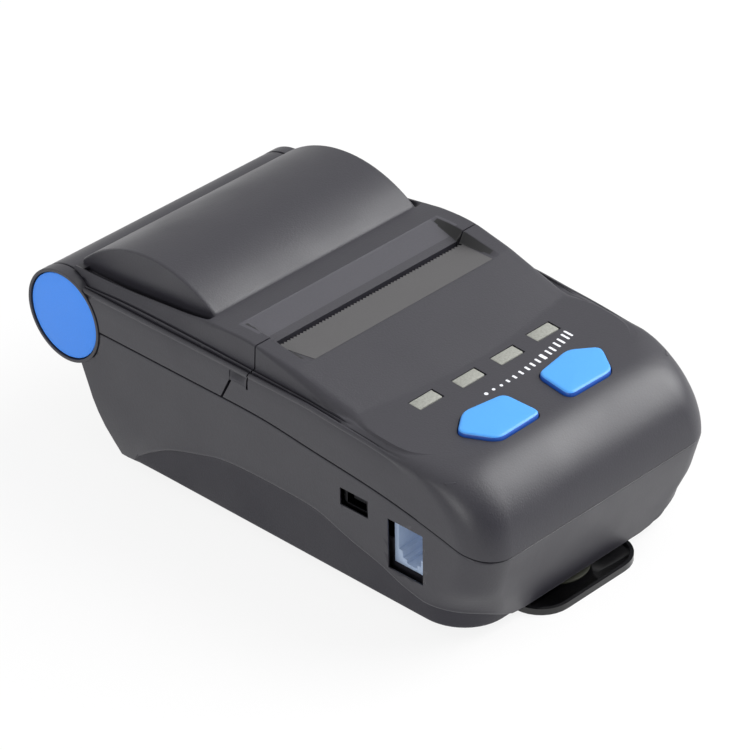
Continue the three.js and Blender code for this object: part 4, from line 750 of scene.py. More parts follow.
class PRINTER_OT_lower_casing(bpy.types.Operator):
    """Lower casing with its skirt crease, hinge ends, sockets' openings and the posts inside"""

    bl_idname = "printer.lower_casing"
    bl_label = "Lower casing"

    def execute(self, context):
        rings = lower_rings()
        casing = loft("lower_casing", rings)
        inside = loft("inside", [
            [p + (Vector((0, p.y, p.z)) - p).normalized() * INNER_CLEAR * MM for p in ring]
            for ring in rings[-5:]
        ])
        posts = part_of_node("bottom_shell", inside)
        carve(casing, hinge_rod(
            "barrel_space", BARREL_RADIUS + SEAM, -KNUCKLE_INNER, KNUCKLE_INNER,
        ))
        carve(casing, block("clip_pocket", (-18.6, -1, -1), (18.6, 4.6, 3.2)))
        for x, y in SCREW_PLACES:
            carve(casing, rod("screw_well", 2.15, 3.5, spot(x, y, 0.75), sides=32))
        for cutter in mouth("charging_mouth", *CHARGING_MOUTH) + mouth("jack_mouth", *JACK_MOUTH):
            carve(casing, cutter)
        knuckles = []
        for side in (-1, 1):
            # A groove shows between the wall and the front of each hinge end
            groove = hinge_rod("groove", KNUCKLE_RADIUS + SEAM, side * 37.3, side * 39)
            near, far = sorted((side * 37, side * 39.5))
            carve(groove, block("groove_part", (near, 40, 24.4), (far, 46.6, 33)), "INTERSECT")
            carve(casing, groove)
            seat = side * (DISC_FACE - DISC_THICKNESS - SEAM)
            room = (DISC_RADIUS + DISC_PLAY, seat, side * OUTSIDE)
            carve(casing, hinge_rod("disc_room", *room))
            knuckle = hinge_rod(
                "knuckle", KNUCKLE_RADIUS, side * KNUCKLE_INNER, side * KNUCKLE_OUTER,
            )
            carve(knuckle, hinge_rod("disc_seat", *room))
            soften(knuckle, 0.2)
            knuckles.append(knuckle)
        join(casing, posts, *knuckles)
        finish_shell(casing, "base", "bottom_shell")
        # Painted shade: the skirt gets a duller copy of the casing's ABS for the shade under the
        # crease near the floor
        paint(casing, "skirt", lambda x, y, z, normal: (
            z < crease_at(x, y) + 0.25 and abs(x) > 20 and normal.z < 0.4 and y < 34
        ))
        return {"FINISHED"}


class PRINTER_OT_hinge_discs(bpy.types.Operator):
    """Blue discs in the hinge ends, with a rounded rim and a slightly crowned face"""

    bl_idname = "printer.hinge_discs"
    bl_label = "Hinge discs"

    def execute(self, context):
        rim = DISC_FACE - DISC_RIM
        profile = [(DISC_FACE - DISC_THICKNESS, DISC_RADIUS - 0.1), (rim, DISC_RADIUS)]
        profile += [
            (rim + DISC_ROUND * sine, DISC_RADIUS - DISC_ROUND * (1 - cosine))
            for sine, cosine in quarter(4)[1:]
        ]
        profile += [
            (DISC_FACE - DISC_CROWN * share ** 2, DISC_RADIUS * share)
            for share in (0.9, 0.7, 0.5, 0.3, 0.12)
        ]
        turns = [2 * math.pi * i / 96 for i in range(96)]
        circle = [(math.cos(turn), math.sin(turn)) for turn in turns]
        for side, node in ((-1, "hinge_disc_left"), (1, "hinge_disc_right")):
            disc = loft(node + "_face", [
                [spot(side * x, HINGE_Y + r * y, HINGE_Z + r * z) for y, z in circle]
                for x, r in profile
            ])
            smooth(disc, 40)
            dress(disc, "disc", BODY_OF[node], [node])
        return {"FINISHED"}


# Upper sections: hood, rail, dome and tear recess


def panel_at(y):
    """Height of the button panel."""
    return PANEL_HEIGHT + PANEL_SLOPE * (y - PANEL_FRONT)


def slope_at(x, y):
    """The head's slope between the ridge and the curved crease, then the button panel."""
    crease = CREASE_MIDDLE + CREASE_BEND * x * x
    if y <= crease:
        return panel_at(y)
    return mix(panel_at(crease), RIDGE_HEIGHT, (y - crease) / (RIDGE_Y - crease))


def recess_at(y):
    """Floor of the tear recess, from its rear crease to the front ridge."""
    behind, before = SLOT_Y + 0.5, SLOT_Y - 0.5
    if y > behind:
        return mix(RECESS_FLOOR, RECESS_REAR_HEIGHT, (y - behind) / (RECESS_REAR - behind))
    if y > before:
        return RECESS_FLOOR
    return mix(RECESS_FLOOR, RIDGE_HEIGHT, (before - y) / (before - RIDGE_Y))


def top_at(x, y):
    """Height of the hood or panel inside the strip along its edge."""
    if y < RIDGE_Y:
        return slope_at(x, y)
    return recess_at(y) if y < RECESS_REAR else along(STRIP_LINE, y)


def dome_at(y, lining=0):
    """Height of the dome over the roll, or of its inside under a lining; 0 before the dome."""
    if y < DOME_FRONT[0]:
        return 0
    centre_y, centre_z, radius = DOME
    return centre_z + math.sqrt(max((radius - lining) ** 2 - (y - centre_y) ** 2, 0))


def strip_at(x, y):
    """The strip between the hood's shoulder and the recess or dome, round at its outer edge."""
    inner = along(STRIP_LINE, y) if y >= RIDGE_Y else slope_at(RECESS_RIM, y)
    outer = along(SHOULDER_LINE, y)
    share = max((abs(x) - RECESS_RIM) / (SHOULDER_INNER - RECESS_RIM), 0)
    rear = mix(inner, min(outer, inner), share ** 2)
    edge = mix(0.5, 3, clamp((-8 - y) / 25)) * (1 - ease(-y, 34, 44)) + 0.02
    front = inner - edge * drop(clamp((abs(x) - SHOULDER_X + edge) / edge))
    return mix(front, rear, ease(y, *REAR_BLEND))


def wall_foot(low):
    """The rounded lower edge of the wall."""
    return [(37.8, low), (37.95, low + 0.08), (SIDE_HALF, low + 0.3)]


def plain_edge(y, count):
    """Wall and round shoulder where the section meets the nose."""
    low = along(PARTING_LINE, y) + SEAM / 2
    arc = []
    for rise in shoulder_rises():
        x = nose_half(rise, y) - shoulder_inset(rise)
        arc.append((x, NOSE_LOW + rise + panel_rise(rise, y)))
    edge = wall_foot(low)
    for share in (0.25, 0.5, 0.75, 0.87, 0.95):
        z = mix(low + 0.3, arc[0][1], share)
        edge.append((nose_half(z - NOSE_LOW, y), z))
    edge += arc
    flats = count - len(edge)
    return edge + [(arc[-1][0] - 0.2 - 0.6 * i / (flats - 1), panel_at(y)) for i in range(flats)]


def ribbed_edge(y):
    """Wall, bead, grooves, ridge and the shoulder beside the hood; in front only the bead stays."""
    low = along(PARTING_LINE, y) + SEAM / 2
    rail = along(RAIL_LINE, y)
    foot = along(FOOT_LINE, y)
    shoulder = strip_at(SHOULDER_INNER, y)
    ridge = mix(rail, foot, 0.6)
    wall = rail - 2.2
    skin = wall_foot(low) + [
        (SIDE_HALF, mix(low, wall, 0.33)), (SIDE_HALF, mix(low, wall, 0.67)),
        (SIDE_HALF, wall), (37.78, rail - 1.4), (37.8, rail - 1.1), (38, rail - 0.8),
        (38.03, rail - 0.5), (37.92, rail - 0.18), (37.65, rail), (RAIL_INNER, rail),
        (37.12, rail - 0.18),
    ]
    ribs = ease(y, -38, -30)
    rear = ease(y, *REAR_BLEND)
    grooves = [
        (37.05, rail - 0.75), (36.88, rail - 0.85), (36.76, ridge - 0.12), (36.62, ridge),
        (36.48, ridge - 0.12), (36.4, ridge - 0.9), (36.2, ridge - 0.9), (36.1, foot - 0.1),
        (mix(36, 35.98, rear), foot + 0.2),
    ]
    for x, z in grooves:
        plain = mix(shoulder, rail, (x - SHOULDER_INNER) / (RAIL_INNER - SHOULDER_INNER))
        skin.append((x, mix(plain, z, ribs)))
    # The shoulder's climb: place across in front and at the rear, share of its height
    climb = (
        (35.7, 35.6, 0.45), (35.62, 35.35, 0.7), (35.4, 35.18, 0.86), (35.1, 35.06, 0.95),
        (SHOULDER_INNER, SHOULDER_INNER, 1),
    )
    for near, far, share in climb:
        height = mix(max(strip_at(near, y), foot), mix(foot, shoulder, share), rear)
        skin.append((mix(near, far, rear), height))
    return skin


def half_section(y):
    """The outer skin at one place along the body, from the parting line to the middle: (x, z)."""
    ribbed = ribbed_edge(y)
    edge = mix_points(plain_edge(y, len(ribbed)), ribbed, ease(y, NOSE_JOIN, NOSE_JOIN + 11))
    narrow = min(edge[-1][0] / SHOULDER_INNER, 1)
    gutter = along(GUTTER_LINE, y) if y > DOME_FRONT[0] else math.inf
    dome = dome_at(y)
    skin = []
    for x, dip in ((34.5, 0.05), (34.2, 0.25), (33.6, 0.85), (33.1, 1), (32.45, 1)):
        plain = strip_at(x, y)
        skin.append((x, mix(plain, min(plain, gutter), dip)))
    valley = skin[-1][1]
    dome_top = max(dome, strip_at(32.3, y))
    dome_foot = min(valley + 0.15, dome_top)
    rim = max(dome, strip_at(RECESS_RIM, y))
    skin += [
        (32.3, dome_foot), (32.3, max(dome_top - 0.6, dome_foot)),
        (32.22, max(dome_top - 0.2, valley)), (31.95, dome_top),
        (31.4, max(dome, strip_at(31.4, y))), (RECESS_RIM, rim),
    ]

    def top(x):
        return recess_at(y) if RIDGE_Y < y < RECESS_REAR else max(dome, top_at(x, y))

    skin.append((RECESS_FOOT + 0.15, mix(top(RECESS_FOOT), rim, 0.1)))
    skin += [(x, top(x)) for x in (29.5, 25, 20, 15, 10, 5, 0)]
    return edge + [(x * narrow, z) for x, z in skin]


def section_ring(y):
    """A closed section: the outer skin from left to right and the lining back again."""
    skin = half_section(y)
    outer = [(-x, z) for x, z in skin] + skin[-2::-1]
    low = skin[0][1]
    rail = along(RAIL_LINE, y) - WALL
    crown = min(z for x, z in skin if x < 34.6) - WALL
    over_roll = max(crown, dome_at(y, WALL))
    lining = [(36, low), (36, mix(low, rail, 0.5)), (36, rail), (33.6, rail + 0.3)]
    lining += [(33, min(crown, rail + 3)), (31, crown)]
    lining += [(x, over_roll) for x in (30.2, 20, 10)]
    inner = lining + [(0, over_roll)] + [(-x, z) for x, z in lining[::-1]]
    return [spot(x, y, z) for x, z in outer + inner]


def stations():
    """Places along the body for the sections, closer together where the surface turns."""
    return [
        *[NOSE_JOIN + 0.75 * i for i in range(9)], -50, -48, -46, -44, -42.5, -41,
        *[-40.5 + 0.5 * i for i in range(13)],
        -33, -31, -29, -27, -25, -23, -21.5, -20.2, -19.6, -19.2, RIDGE_Y, -18.7, -18.2, -17,
        -15, -13, -11, -9.5, -8.6, -8.1, -7.6, -6.5, -5, -3, -1, 0.4, 1, 1.3, 1.42, 1.6, 2.2,
        3.5, 5, 6.5, 7.5, 8.05, 8.12, 8.3, 8.6, 9, 9.5, 10, 11, 12, 13.5, 15,
        *range(17, 48, 2), 48.5, 50, HOOD_REAR,
    ]


def joint_path(side):
    """The joint between cover and front casing, seen from the side; side is 1 for the cover."""
    gap = side * SEAM / 2
    path = [(1.4 + gap * 1.8, 20), (1.4 + gap * 1.8, 32), (-1.8 + gap * 2.2, TONGUE_TOP)]
    if side > 0:
        path += [(-1.4, NOTCH_TOP), (-6.85, NOTCH_TOP), (-6.85, 41)]
    else:
        path += [(-6.6, TONGUE_TOP), (-6.6, 37.5), (-7.2, 37.5), (-7.2, 41)]
    far = side * 90
    return path + [(JOINT_Y + gap, 42.7), (JOINT_Y + gap, 70), (far, 70), (far, 20)]


def upper_solid(name, side):
    """The hood's sections on one side of the joint."""
    body = loft(name, [section_ring(y) for y in stations()])
    carve(body, prism("joint", "X", joint_path(side), -45, 45), "INTERSECT")
    carve(body, block("slot", (-SLOT_HALF, SLOT_Y - 0.9, 40), (SLOT_HALF, JOINT_Y + 0.55, 52)))
    return body


def paint_recess(shell):
    """Gives the recess's rear floor its finer texture with a lighter tone of painted light, and its
    end walls plain black as painted shade.
    """
    def inside(x, y, z):
        return RIDGE_Y < y < RECESS_REAR and z >= 44.5 and abs(x) <= RECESS_RIM + 1

    # Painted light: a lighter copy of the casing's ABS on the recess's rear floor
    paint(shell, "floor", lambda x, y, z, normal: (
        inside(x, y, z) and abs(normal.x) <= 0.3 and y > SLOT_Y + 2.6
    ))
    # Painted shade: the recess's end walls get the plain black ABS for the shade that falls on them
    paint(shell, "inner", lambda x, y, z, normal: inside(x, y, z) and abs(normal.x) > 0.3)


class PRINTER_OT_paper_cover(bpy.types.Operator):
    """Paper cover with its side walls, dome over the roll and hinge barrel"""

    bl_idname = "printer.paper_cover"
    bl_label = "Paper cover"

    def execute(self, context):
        cover = upper_solid("cover_shell", 1)
        for side in (-1, 1):
            ends = (side * BARREL_HALF, side * OUTSIDE)
            carve(cover, hinge_rod("knuckle_space", KNUCKLE_RADIUS + SEAM, *ends))
        barrel = hinge_rod("barrel", BARREL_RADIUS, -BARREL_HALF, BARREL_HALF)
        soften(barrel, 0.3, 3)
        closing = block("closing", (-34.4, HOOD_REAR - WALL, 36), (34.4, HOOD_REAR - 0.02, 43.9))
        room = room_inside([(35.9, 33), (35.9, 38), (30, 43.5), (29, 44.2)], -12, 44)
        join(cover, barrel, closing, part_of_node("paper_cover", room))
        finish_shell(cover, "cover", "paper_cover")
        paint_recess(cover)
        return {"FINISHED"}


# Nose


def shoulder_rises():
    """Rises of the nose's last rings, which follow the shoulder's round."""
    return [NOSE_HEIGHT - SHOULDER_ROUND * (1 - math.sin(math.pi / 16 * i)) for i in range(9)]


def shoulder_inset(rise):
    """How far the shoulder's round is inside the side wall at a height on the nose's curve."""
    return SHOULDER_ROUND * drop(max(0, (rise - NOSE_HEIGHT + SHOULDER_ROUND) / SHOULDER_ROUND))


def panel_rise(rise, y):
    """How far the panel's slope lifts the nose at a height on its curve."""
    return PANEL_SLOPE * max(y - PANEL_FRONT, 0) * (rise / NOSE_HEIGHT) ** 2


def nose_corner(rise):
    """Corner radius of the nose seen from above, which grows towards its top."""
    return mix(NOSE_CORNER, TOP_CORNER, clamp(rise / NOSE_HEIGHT) ** 2)


def nose_half(rise, y):
    """Half width of the nose at a height on its curve and a place along the body."""
    sine = clamp(rise / NOSE_HEIGHT)
    corner = nose_corner(rise)
    depth = max(PANEL_FRONT - NOSE_LENGTH * math.sqrt(1 - sine * sine) + corner - y, 0)
    return SIDE_HALF - corner + math.sqrt(max(corner * corner - depth * depth, 0))


def nose_ring(rise, inset, level=None):
    """A ring of the nose, inset from its skin, at a height on its curve or flat at a level."""
    sine = rise / NOSE_HEIGHT
    half = SIDE_HALF - inset - shoulder_inset(rise)
    front = PANEL_FRONT - (NOSE_LENGTH - inset) * math.sqrt(max(1 - sine * sine, 0))
    ring = []
    for x, y in casing_ring(half, front, NOSE_REAR + inset, nose_corner(rise) - inset):
        z = NOSE_LOW + (NOSE_HEIGHT - inset) * sine + panel_rise(rise, y)
        ring.append(spot(x, y, z if level is None else level))
    return ring


def nose_solid(inset):
    """The nose up to its panel; with an inset, the room inside it."""
    top = math.asin(1 - SHOULDER_ROUND / NOSE_HEIGHT)
    rises = [NOSE_HEIGHT * math.sin(top * i / 17) for i in range(17)] + shoulder_rises()
    rings = [nose_ring(0, inset, NOSE_FLOOR - inset)] + [nose_ring(rise, inset) for rise in rises]
    return loft("nose", rings)


def nose_shell():
    """The hollow nose, cut along the parting line and behind the button panel."""
    nose = nose_solid(0)
    carve(nose, nose_solid(WALL))
    places = (-90, -78, -74, -70, -66, -62.3, -58, -54, -50)
    edge = [(y, along(PARTING_LINE, y) + SEAM / 2) for y in places]
    carve(nose, prism("under", "X", [(-90, 0)] + edge + [(-50, 0)], -50, 50))
    carve(nose, block("behind", (-50, NOSE_JOIN, 0), (50, 80, 60)))
    return nose


def scoop(side):
    """The hollow at the top of the tongue, under the notch where a finger lifts the cover."""
    rings = []
    for i in range(13):
        y = mix(-6.6, -1.5, i / 12)
        depth = mix(0.35, 1.3, math.sin(math.pi * i / 12) ** 0.7)
        profile = [
            (SIDE_HALF, 37.9), (SIDE_HALF - 0.12 * depth, 38.6), (SIDE_HALF - 0.4 * depth, 39.3),
            (SIDE_HALF - depth, 40.2), (36, 40.2), (36, 37.9),
        ]
        rings.append([spot(side * x, y, z) for x, z in profile])
    return loft("scoop", rings)


def button_outline(side, grow=0):
    """Outline of a button seen from above: five rounded corners, larger by grow."""
    x0, x1, y0, y1 = BUTTON_BOX
    corners = [
        Vector((mix(x0 - grow, x1 + grow, a), mix(y0 - grow, y1 + grow, b)))
        for a, b in BUTTON_CORNERS
    ]
    length = BUTTON_CORNER_LENGTH + grow
    points = []
    for i, corner in enumerate(corners):
        to_before = (corners[i - 1] - corner).normalized() * length
        to_after = (corners[(i + 1) % len(corners)] - corner).normalized() * length
        for step in range(7):
            t = step / 6
            point = corner + to_before * (1 - t) ** 2 + to_after * t ** 2
            points.append((side * point.x, point.y))
    return points if side > 0 else points[::-1]


def window_half(context):
    """Half the width and half the depth of a light window in millimetres."""
    sizes = context.scene.printer_sizes
    return sizes.window_width / MM / 2, sizes.window_depth / MM / 2


class PRINTER_OT_front_casing(bpy.types.Operator):
    """Front casing: nose, button panel, head slope and tear recess"""

    bl_idname = "printer.front_casing"
    bl_label = "Front casing"

    def execute(self, context):
        front = upper_solid("front_casing", -1)
        nose = nose_shell()
        wide, deep = window_half(context)
        for x, y in WINDOWS:
            low = (x - wide - 0.12, y - deep - 0.4, 30)
            carve(front, block("window_mouth", low, (x + wide + 0.35, y + deep + 0.1, 50)))
        for side in (-1, 1):
            for shell in (front, nose):
                carve(shell, prism("button_mouth", "Z", button_outline(side, 0.3), 32, 50))
        room = room_inside([(35.9, 24), (35.9, 38), (28, 38.5)], -66, -2)
        join(front, nose, part_of_node("front_shell", room), scoop(-1), scoop(1))
        finish_shell(front, "base", "front_shell")
        paint_recess(front)
        return {"FINISHED"}


class PRINTER_OT_tear_plate(bpy.types.Operator):
    """Tear plate: the front floor of the recess, with its row of teeth over the slot"""

    bl_idname = "printer.tear_plate"
    bl_label = "Tear plate"

    def execute(self, context):
        half, toothed, pitch, rear = 29.6, 29, 1.0, SLOT_Y - 0.75
        outline = [(1 - half, RIDGE_Y + 0.05), (half - 1, RIDGE_Y + 0.05), (half, rear)]
        count = int(2 * toothed / pitch)
        for i in range(count):
            x = toothed - i * pitch
            outline += [(x, rear), (x - pitch / 2, rear + 0.6)]
        outline += [(toothed - count * pitch, rear), (-half, rear)]
        plate = loft("tear_plate", [
            [spot(x, y, recess_at(min(y, rear)) + lift) for x, y in outline]
            for lift in (-0.25, 0.06)
        ])
        under = block("under", (-40, -12, 30), (40, -5, RECESS_FLOOR - 0.3))
        join(plate, part_of_node("tear_bar", under))
        smooth(plate, 30)
        dress(plate, "tear", BODY_OF["tear_bar"], ["tear_bar"])
        return {"FINISHED"}


class PRINTER_OT_jack_insert(bpy.types.Operator):
    """Insert of the modular jack: a stepped opening for a plug with a latch"""

    bl_idname = "printer.jack_insert"
    bl_label = "Jack insert"

    def execute(self, context):
        insert = block("jack_insert", (-36, -59.2, 11), (-24.2, -49.45, 23))
        # Steps of the opening: front and rear along Y, low and high
        steps = (
            (-58.2, -50.6, 14.7, 22.4), (-57.2, -51.8, 12.9, 15), (-56, -53, 11.9, 13.2),
        )
        for front, rear, low, high in steps:
            carve(insert, block("plug_room", (-37, front, low), (-29, rear, high)))
        soften(insert, 0.12, 2, 40)
        contacts = []
        for i in range(6):
            y = -51.9 - 1.02 * i
            contacts.append(block("contact", (-34.5, y - 0.2, 21.9), (-29.2, y + 0.2, 22.35)))
        join(insert, *contacts)
        smooth(insert, 35)
        dress(insert, "jack", "base", ["serial_jack"])
        paint(insert, "steel", lambda x, y, z, normal: (
            21.85 < z < 22.36 and -34.6 < x < -29.1 and -57.3 < y < -51.6
        ))
        return {"FINISHED"}


# Buttons, windows and marks on the panel


def panel_ring(outline, lift):
    """An outline laid over the panel's slope, lifted by some millimetres."""
    return [spot(x, y, panel_at(y) + lift) for x, y in outline]


class PRINTER_OT_buttons(bpy.types.Operator):
    """The two buttons: straight sides, a round edge and a crowned top"""

    bl_idname = "printer.buttons"
    bl_label = "Buttons"

    def execute(self, context):
        for side, node, body in ((-1, "left_button", "feed_key"), (1, "right_button", "power_key")):
            straight = (-2.2, -1, BUTTON_SIDE_TOP)
            rings = [panel_ring(button_outline(side), lift) for lift in straight]
            for sine, cosine in quarter(5)[1:]:
                outline = button_outline(side, -BUTTON_ROUND * (1 - cosine))
                rings.append(panel_ring(outline, BUTTON_SIDE_TOP + BUTTON_ROUND * sine))
            edge = button_outline(side, -BUTTON_ROUND)
            middle = Vector((side * 13.5, -58.3))
            for share in (0.92, 0.8, 0.65, 0.5, 0.35, 0.18):
                lift = BUTTON_SIDE_TOP + BUTTON_ROUND + BUTTON_CROWN * (1 - share ** 2)
                rings.append(panel_ring([middle.lerp(Vector(p), share) for p in edge], lift))
            button = loft(node + "_key", rings)
            join(button, part_of_node(node, block("below", (-40, -80, 20), (40, -40, 38))))
            smooth(button, 40)
            dress(button, "button", body, [node])
            # Painted shade: the buttons' side faces get a darker blue
            paint(button, "button_side_shade", lambda x, y, z, normal: (
                abs(normal.z) < 0.45 and z - panel_at(y) < 0.7
            ))
        return {"FINISHED"}


class PRINTER_OT_light_windows(bpy.types.Operator):
    """The four frosted windows with their light pipes"""

    bl_idname = "printer.light_windows"
    bl_label = "Light windows"

    def execute(self, context):
        wide, deep = window_half(context)
        for number, (x, y) in enumerate(WINDOWS, 1):
            node = f"light_window_{number}"
            outline = [
                (x + a * wide, y + b * deep) for a, b in ((-1, -1), (1, -1), (1, 1), (-1, 1))
            ]
            pane = loft(node + "_pane", [panel_ring(outline, lift) for lift in (-2.2, -0.04)])
            soften(pane, 0.18)
            join(pane, part_of_node(node, block("below", (-40, -60, 20), (40, -30, 38.6))))
            smooth(pane, 35)
            dress(pane, "window", "base", [node])
        return {"FINISHED"}


# A tapered scale printed over the buttons: (x, y, width, length)
MARKS = [
    (-7.46, -50.15, 1, 1), (-5.07, -50.13, 0.8, 0.8), (-2.74, -50.29, 0.8, 0.8),
    (-0.46, -50.14, 0.62, 1.1), (1.73, -50.14, 0.62, 1.3), (3.96, -50.04, 0.62, 1.5),
    (6.13, -49.88, 0.62, 1.55), (8.06, -49.7, 0.62, 1.65), (9.99, -49.51, 0.62, 1.75),
    (11.99, -49.27, 0.95, 2.1), (14.06, -48.96, 0.62, 2), (15.73, -48.72, 0.62, 2.1),
    (17.65, -48.25, 0.62, 2.2), (19.39, -47.94, 0.62, 2.35), (21.33, -47.46, 0.62, 2.5),
    (22.79, -47.1, 0.62, 2.6),
]


class PRINTER_OT_scale_marks(bpy.types.Operator):
    """The printed scale of small white marks over the buttons"""

    bl_idname = "printer.scale_marks"
    bl_label = "Scale marks"

    def execute(self, context):
        lift = context.scene.printer_sizes.mark_height / MM
        marks = []
        for x, y, wide, long in MARKS:
            corner = min(wide / 2, 0.2) if long > wide else wide / 2 - 0.01
            across, down = wide / 2 - corner, long / 2 - corner
            outline = []
            for turn, (a, b) in enumerate(((1, 1), (-1, 1), (-1, -1), (1, -1))):
                for step in range(4):
                    angle = math.pi / 2 * (turn + step / 3)
                    outline.append((
                        x + a * across + corner * math.cos(angle),
                        y + b * down + corner * math.sin(angle),
                    ))
            rings = [panel_ring(outline, -0.1), panel_ring(outline, lift)]
            marks.append(loft("scale_marks", rings))
        join(*marks)
        dress(marks[0], "ink", "base")
        return {"FINISHED"}


# Small pieces refined from the CAD nodes: nodes, finish, edge rounding in millimetres
REFINED = [
    ("hinge_pin_left hinge_pin_right", "steel", 0.1),
    ("platen_roller", "rubber", 0),
    ("platen_shaft", "steel", 0.1),
    ("platen_gear", "nylon", 0),
    ("platen_bush_left platen_bush_right", "nylon", 0.1),
    ("platen_bracket", "steel", 0.12),
    ("bracket_screw_1 bracket_screw_2", "steel", 0),
    ("paper_tray paper_sensor", "inner", 0.2),
    ("mechanism_frame frame_screw_1 frame_screw_2", "steel", 0),
    ("print_head", "aluminium", 0),
    ("head_spring_left head_spring_right", "steel", 0),
    ("drive_motor", "steel", 0.2),
    ("motor_pinion", "steel", 0),
    ("idler_gear", "nylon", 0),
    ("idler_axle", "steel", 0),
    ("main_board", "board", 0),
    ("radio_module", "aluminium", 0.15),
    ("buzzer", "inner", 0.2),
    ("battery_pack", "battery", 0),
    # The socket's shell is darkened as painted shade
    ("usb_socket", "socket", 0),
    ("left_switch right_switch", "inner", 0.15),
    ("left_plunger right_plunger", "inner", 0.1),
    ("belt_clip", "clip", 0),
    ("clip_pin", "steel", 0.1),
    ("clip_spring", "steel", 0),
    ("clip_pad", "pad", 0.1),
    ("case_screw_1 case_screw_2 case_screw_3 case_screw_4", "steel", 0),
]


class PRINTER_OT_inner_pieces(bpy.types.Operator):
    """Inner pieces and fasteners, refined from the CAD solids with softened edges"""

    bl_idname = "printer.inner_pieces"
    bl_label = "Inner pieces"

    def execute(self, context):
        for nodes, finish, edge in REFINED:
            for node in nodes.split():
                piece = copy_of_node(node, node + "_finished")
                if edge:
                    soften(piece, edge, 2, 40)
                smooth(piece, 35)
                dress(piece, finish, BODY_OF[node], [node])
        return {"FINISHED"}


# Stage

CAMERA_AZIMUTH = -45.6
CAMERA_HEIGHT = 32.59
CAMERA_ROLL = -1.05
CAMERA_DISTANCE = 964.5
CAMERA_LENS = 201.4
CAMERA_AIM = (9.32, 0, 16.11)
FLOOR_SIZE = 40
LAMPS = [
    # name, place, size, power
    ("key", (0.68, -0.42, 0.64), 0.85, 14),
    ("fill", (-0.9, -0.36, 0.42), 0.2, 2.6),
]
LAMP_AIM = (0, 0, 0.03)


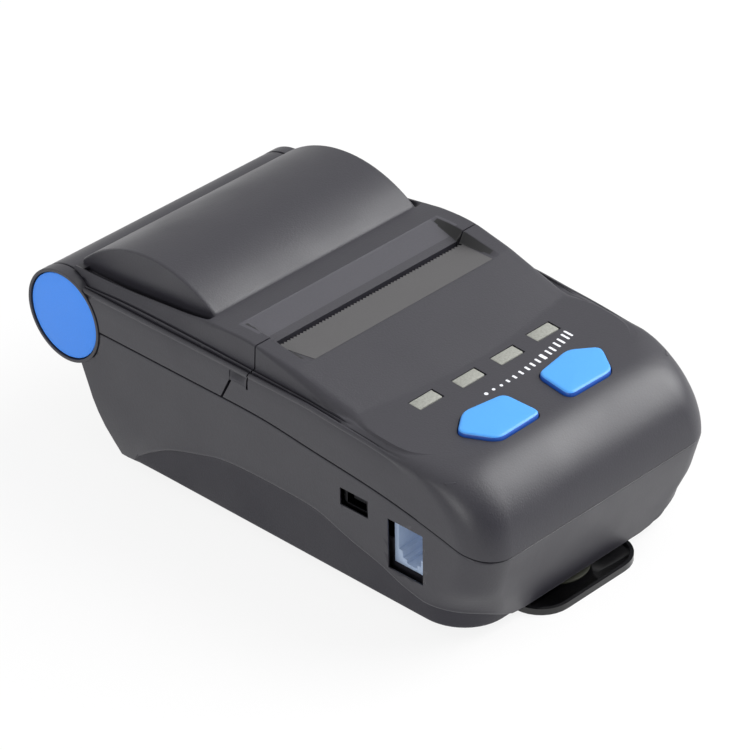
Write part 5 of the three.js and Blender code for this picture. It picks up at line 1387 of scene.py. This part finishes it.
class PRINTER_OT_stage(bpy.types.Operator):
    """Pale floor, soft studio lamps and the camera"""

    bl_idname = "printer.stage"
    bl_label = "Stage"

    def execute(self, context):
        scene = context.scene
        azimuth, height = math.radians(CAMERA_AZIMUTH), math.radians(CAMERA_HEIGHT)
        level = math.cos(height)
        back = Vector((math.sin(azimuth) * level, -math.cos(azimuth) * level, math.sin(height)))
        data = bpy.data.cameras.new("camera")
        data.lens = CAMERA_LENS
        data.sensor_width = 36
        data.clip_end = 20
        camera = bpy.data.objects.new("camera", data)
        scene.collection.objects.link(camera)
        turn = (-back).to_track_quat("-Z", "Y").to_matrix()
        turn = turn @ Matrix.Rotation(math.radians(CAMERA_ROLL), 3, "Z")
        place = spot(*CAMERA_AIM) + back * CAMERA_DISTANCE * MM
        camera.matrix_world = Matrix.Translation(place) @ turn.to_4x4()
        scene.camera = camera

        select_only()
        bpy.ops.mesh.primitive_plane_add(size=FLOOR_SIZE, location=(0, 0, 0))
        floor = named("floor")
        floor.data.materials.append(self.floor_material())

        scene.world = world = bpy.data.worlds.new("studio")
        world.use_nodes = True
        tree = world.node_tree
        tree.nodes.clear()
        place = add_node(tree, "TexCoord").outputs["Generated"]
        # White from overhead and behind, fading out under the horizon
        high = add_node(tree, "VectorMath", {1: (0, 0.6, 0.8)}, {0: place}, operation="DOT_PRODUCT")
        level = add_node(
            tree, "MapRange", {"From Min": -0.4, "From Max": 1, "To Min": 0.05, "To Max": 0.78},
            {"Value": high.outputs["Value"]}, interpolation_type="SMOOTHSTEP",
        ).outputs["Result"]
        soft = add_node(tree, "Background", {"Color": (1, 1, 1, 1)}, {"Strength": level})
        add_node(tree, "OutputWorld", None, {"Surface": soft.outputs[0]})

        for name, place, size, power in LAMPS:
            lamp = bpy.data.lights.new(name, "AREA")
            lamp.size = size
            lamp.energy = power
            item = bpy.data.objects.new(name, lamp)
            item.location = place
            aim = Vector(LAMP_AIM) - Vector(place)
            item.rotation_euler = aim.to_track_quat("-Z", "Y").to_euler()
            scene.collection.objects.link(item)
        scene.view_settings.view_transform = "Standard"
        return {"FINISHED"}

    def floor_material(self):
        """Matt white paper: white to the camera, in reflections and through clear parts."""
        material, tree, output, place = new_material("matt_white_paper")
        fibre = add_node(
            tree, "TexNoise", {"Scale": 1 / (0.8 * MM), "Detail": 2}, {"Vector": place},
        ).outputs["Fac"]
        bump = add_node(tree, "Bump", {"Strength": 0.1, "Distance": 0.02 * MM}, {"Height": fibre})
        paper = add_node(
            tree, "BsdfPrincipled", {"Base Color": linear("#f2f2f2"), "Roughness": 0.9},
            {"Normal": bump.outputs["Normal"]},
        )
        glow = add_node(tree, "Emission", {"Color": (1, 1, 1, 1), "Strength": 1})
        rays = add_node(tree, "LightPath").outputs
        seen = rays["Is Camera Ray"]
        for kind in ("Is Glossy Ray", "Is Transmission Ray"):
            seen = add_node(
                tree, "Math", None, {0: seen, 1: rays[kind]}, operation="MAXIMUM",
            ).outputs[0]
        share = add_node(tree, "Math", {1: 0.86}, {0: seen}, operation="MULTIPLY")
        blend = add_node(tree, "MixShader", None, {
            "Fac": share.outputs[0], 1: paper.outputs["BSDF"], 2: glow.outputs[0],
        })
        tree.links.new(blend.outputs[0], output.inputs["Surface"])
        return material


class PRINTER_PT_panel(bpy.types.Panel):
    """Sidebar panel with the printer's steps, sizes and colours"""

    bl_idname = "PRINTER_PT_panel"
    bl_label = "Receipt printer"
    bl_space_type = "VIEW_3D"
    bl_region_type = "UI"
    bl_category = "Printer"

    def draw(self, context):
        for step in STEPS:
            self.layout.operator(step.bl_idname)
        for group in (context.scene.printer_sizes, context.scene.printer_colours):
            for name in group.__annotations__:
                self.layout.prop(group, name)


STEPS = (
    PRINTER_OT_stage,
    PRINTER_OT_lower_casing,
    PRINTER_OT_hinge_discs,
    PRINTER_OT_front_casing,
    PRINTER_OT_tear_plate,
    PRINTER_OT_jack_insert,
    PRINTER_OT_paper_cover,
    PRINTER_OT_buttons,
    PRINTER_OT_light_windows,
    PRINTER_OT_scale_marks,
    PRINTER_OT_inner_pieces,
)
CLASSES = (PRINTER_PG_colours, PRINTER_PG_sizes, *STEPS, PRINTER_PT_panel)


def register():
    for item in CLASSES:
        bpy.utils.register_class(item)
    bpy.types.Scene.printer_colours = bpy.props.PointerProperty(type=PRINTER_PG_colours)
    bpy.types.Scene.printer_sizes = bpy.props.PointerProperty(type=PRINTER_PG_sizes)


def unregister():
    del bpy.types.Scene.printer_colours
    del bpy.types.Scene.printer_sizes
    for item in reversed(CLASSES):
        bpy.utils.unregister_class(item)


def main():
    register()
    make_finishes()
    bpy.ops.printer.stage()
    bpy.ops.printer.lower_casing()
    bpy.ops.printer.hinge_discs()
    bpy.ops.printer.front_casing()
    bpy.ops.printer.tear_plate()
    bpy.ops.printer.jack_insert()
    bpy.ops.printer.paper_cover()
    bpy.ops.printer.buttons()
    bpy.ops.printer.light_windows()
    bpy.ops.printer.scale_marks()
    bpy.ops.printer.inner_pieces()


if __name__ == "__main__":
    main()
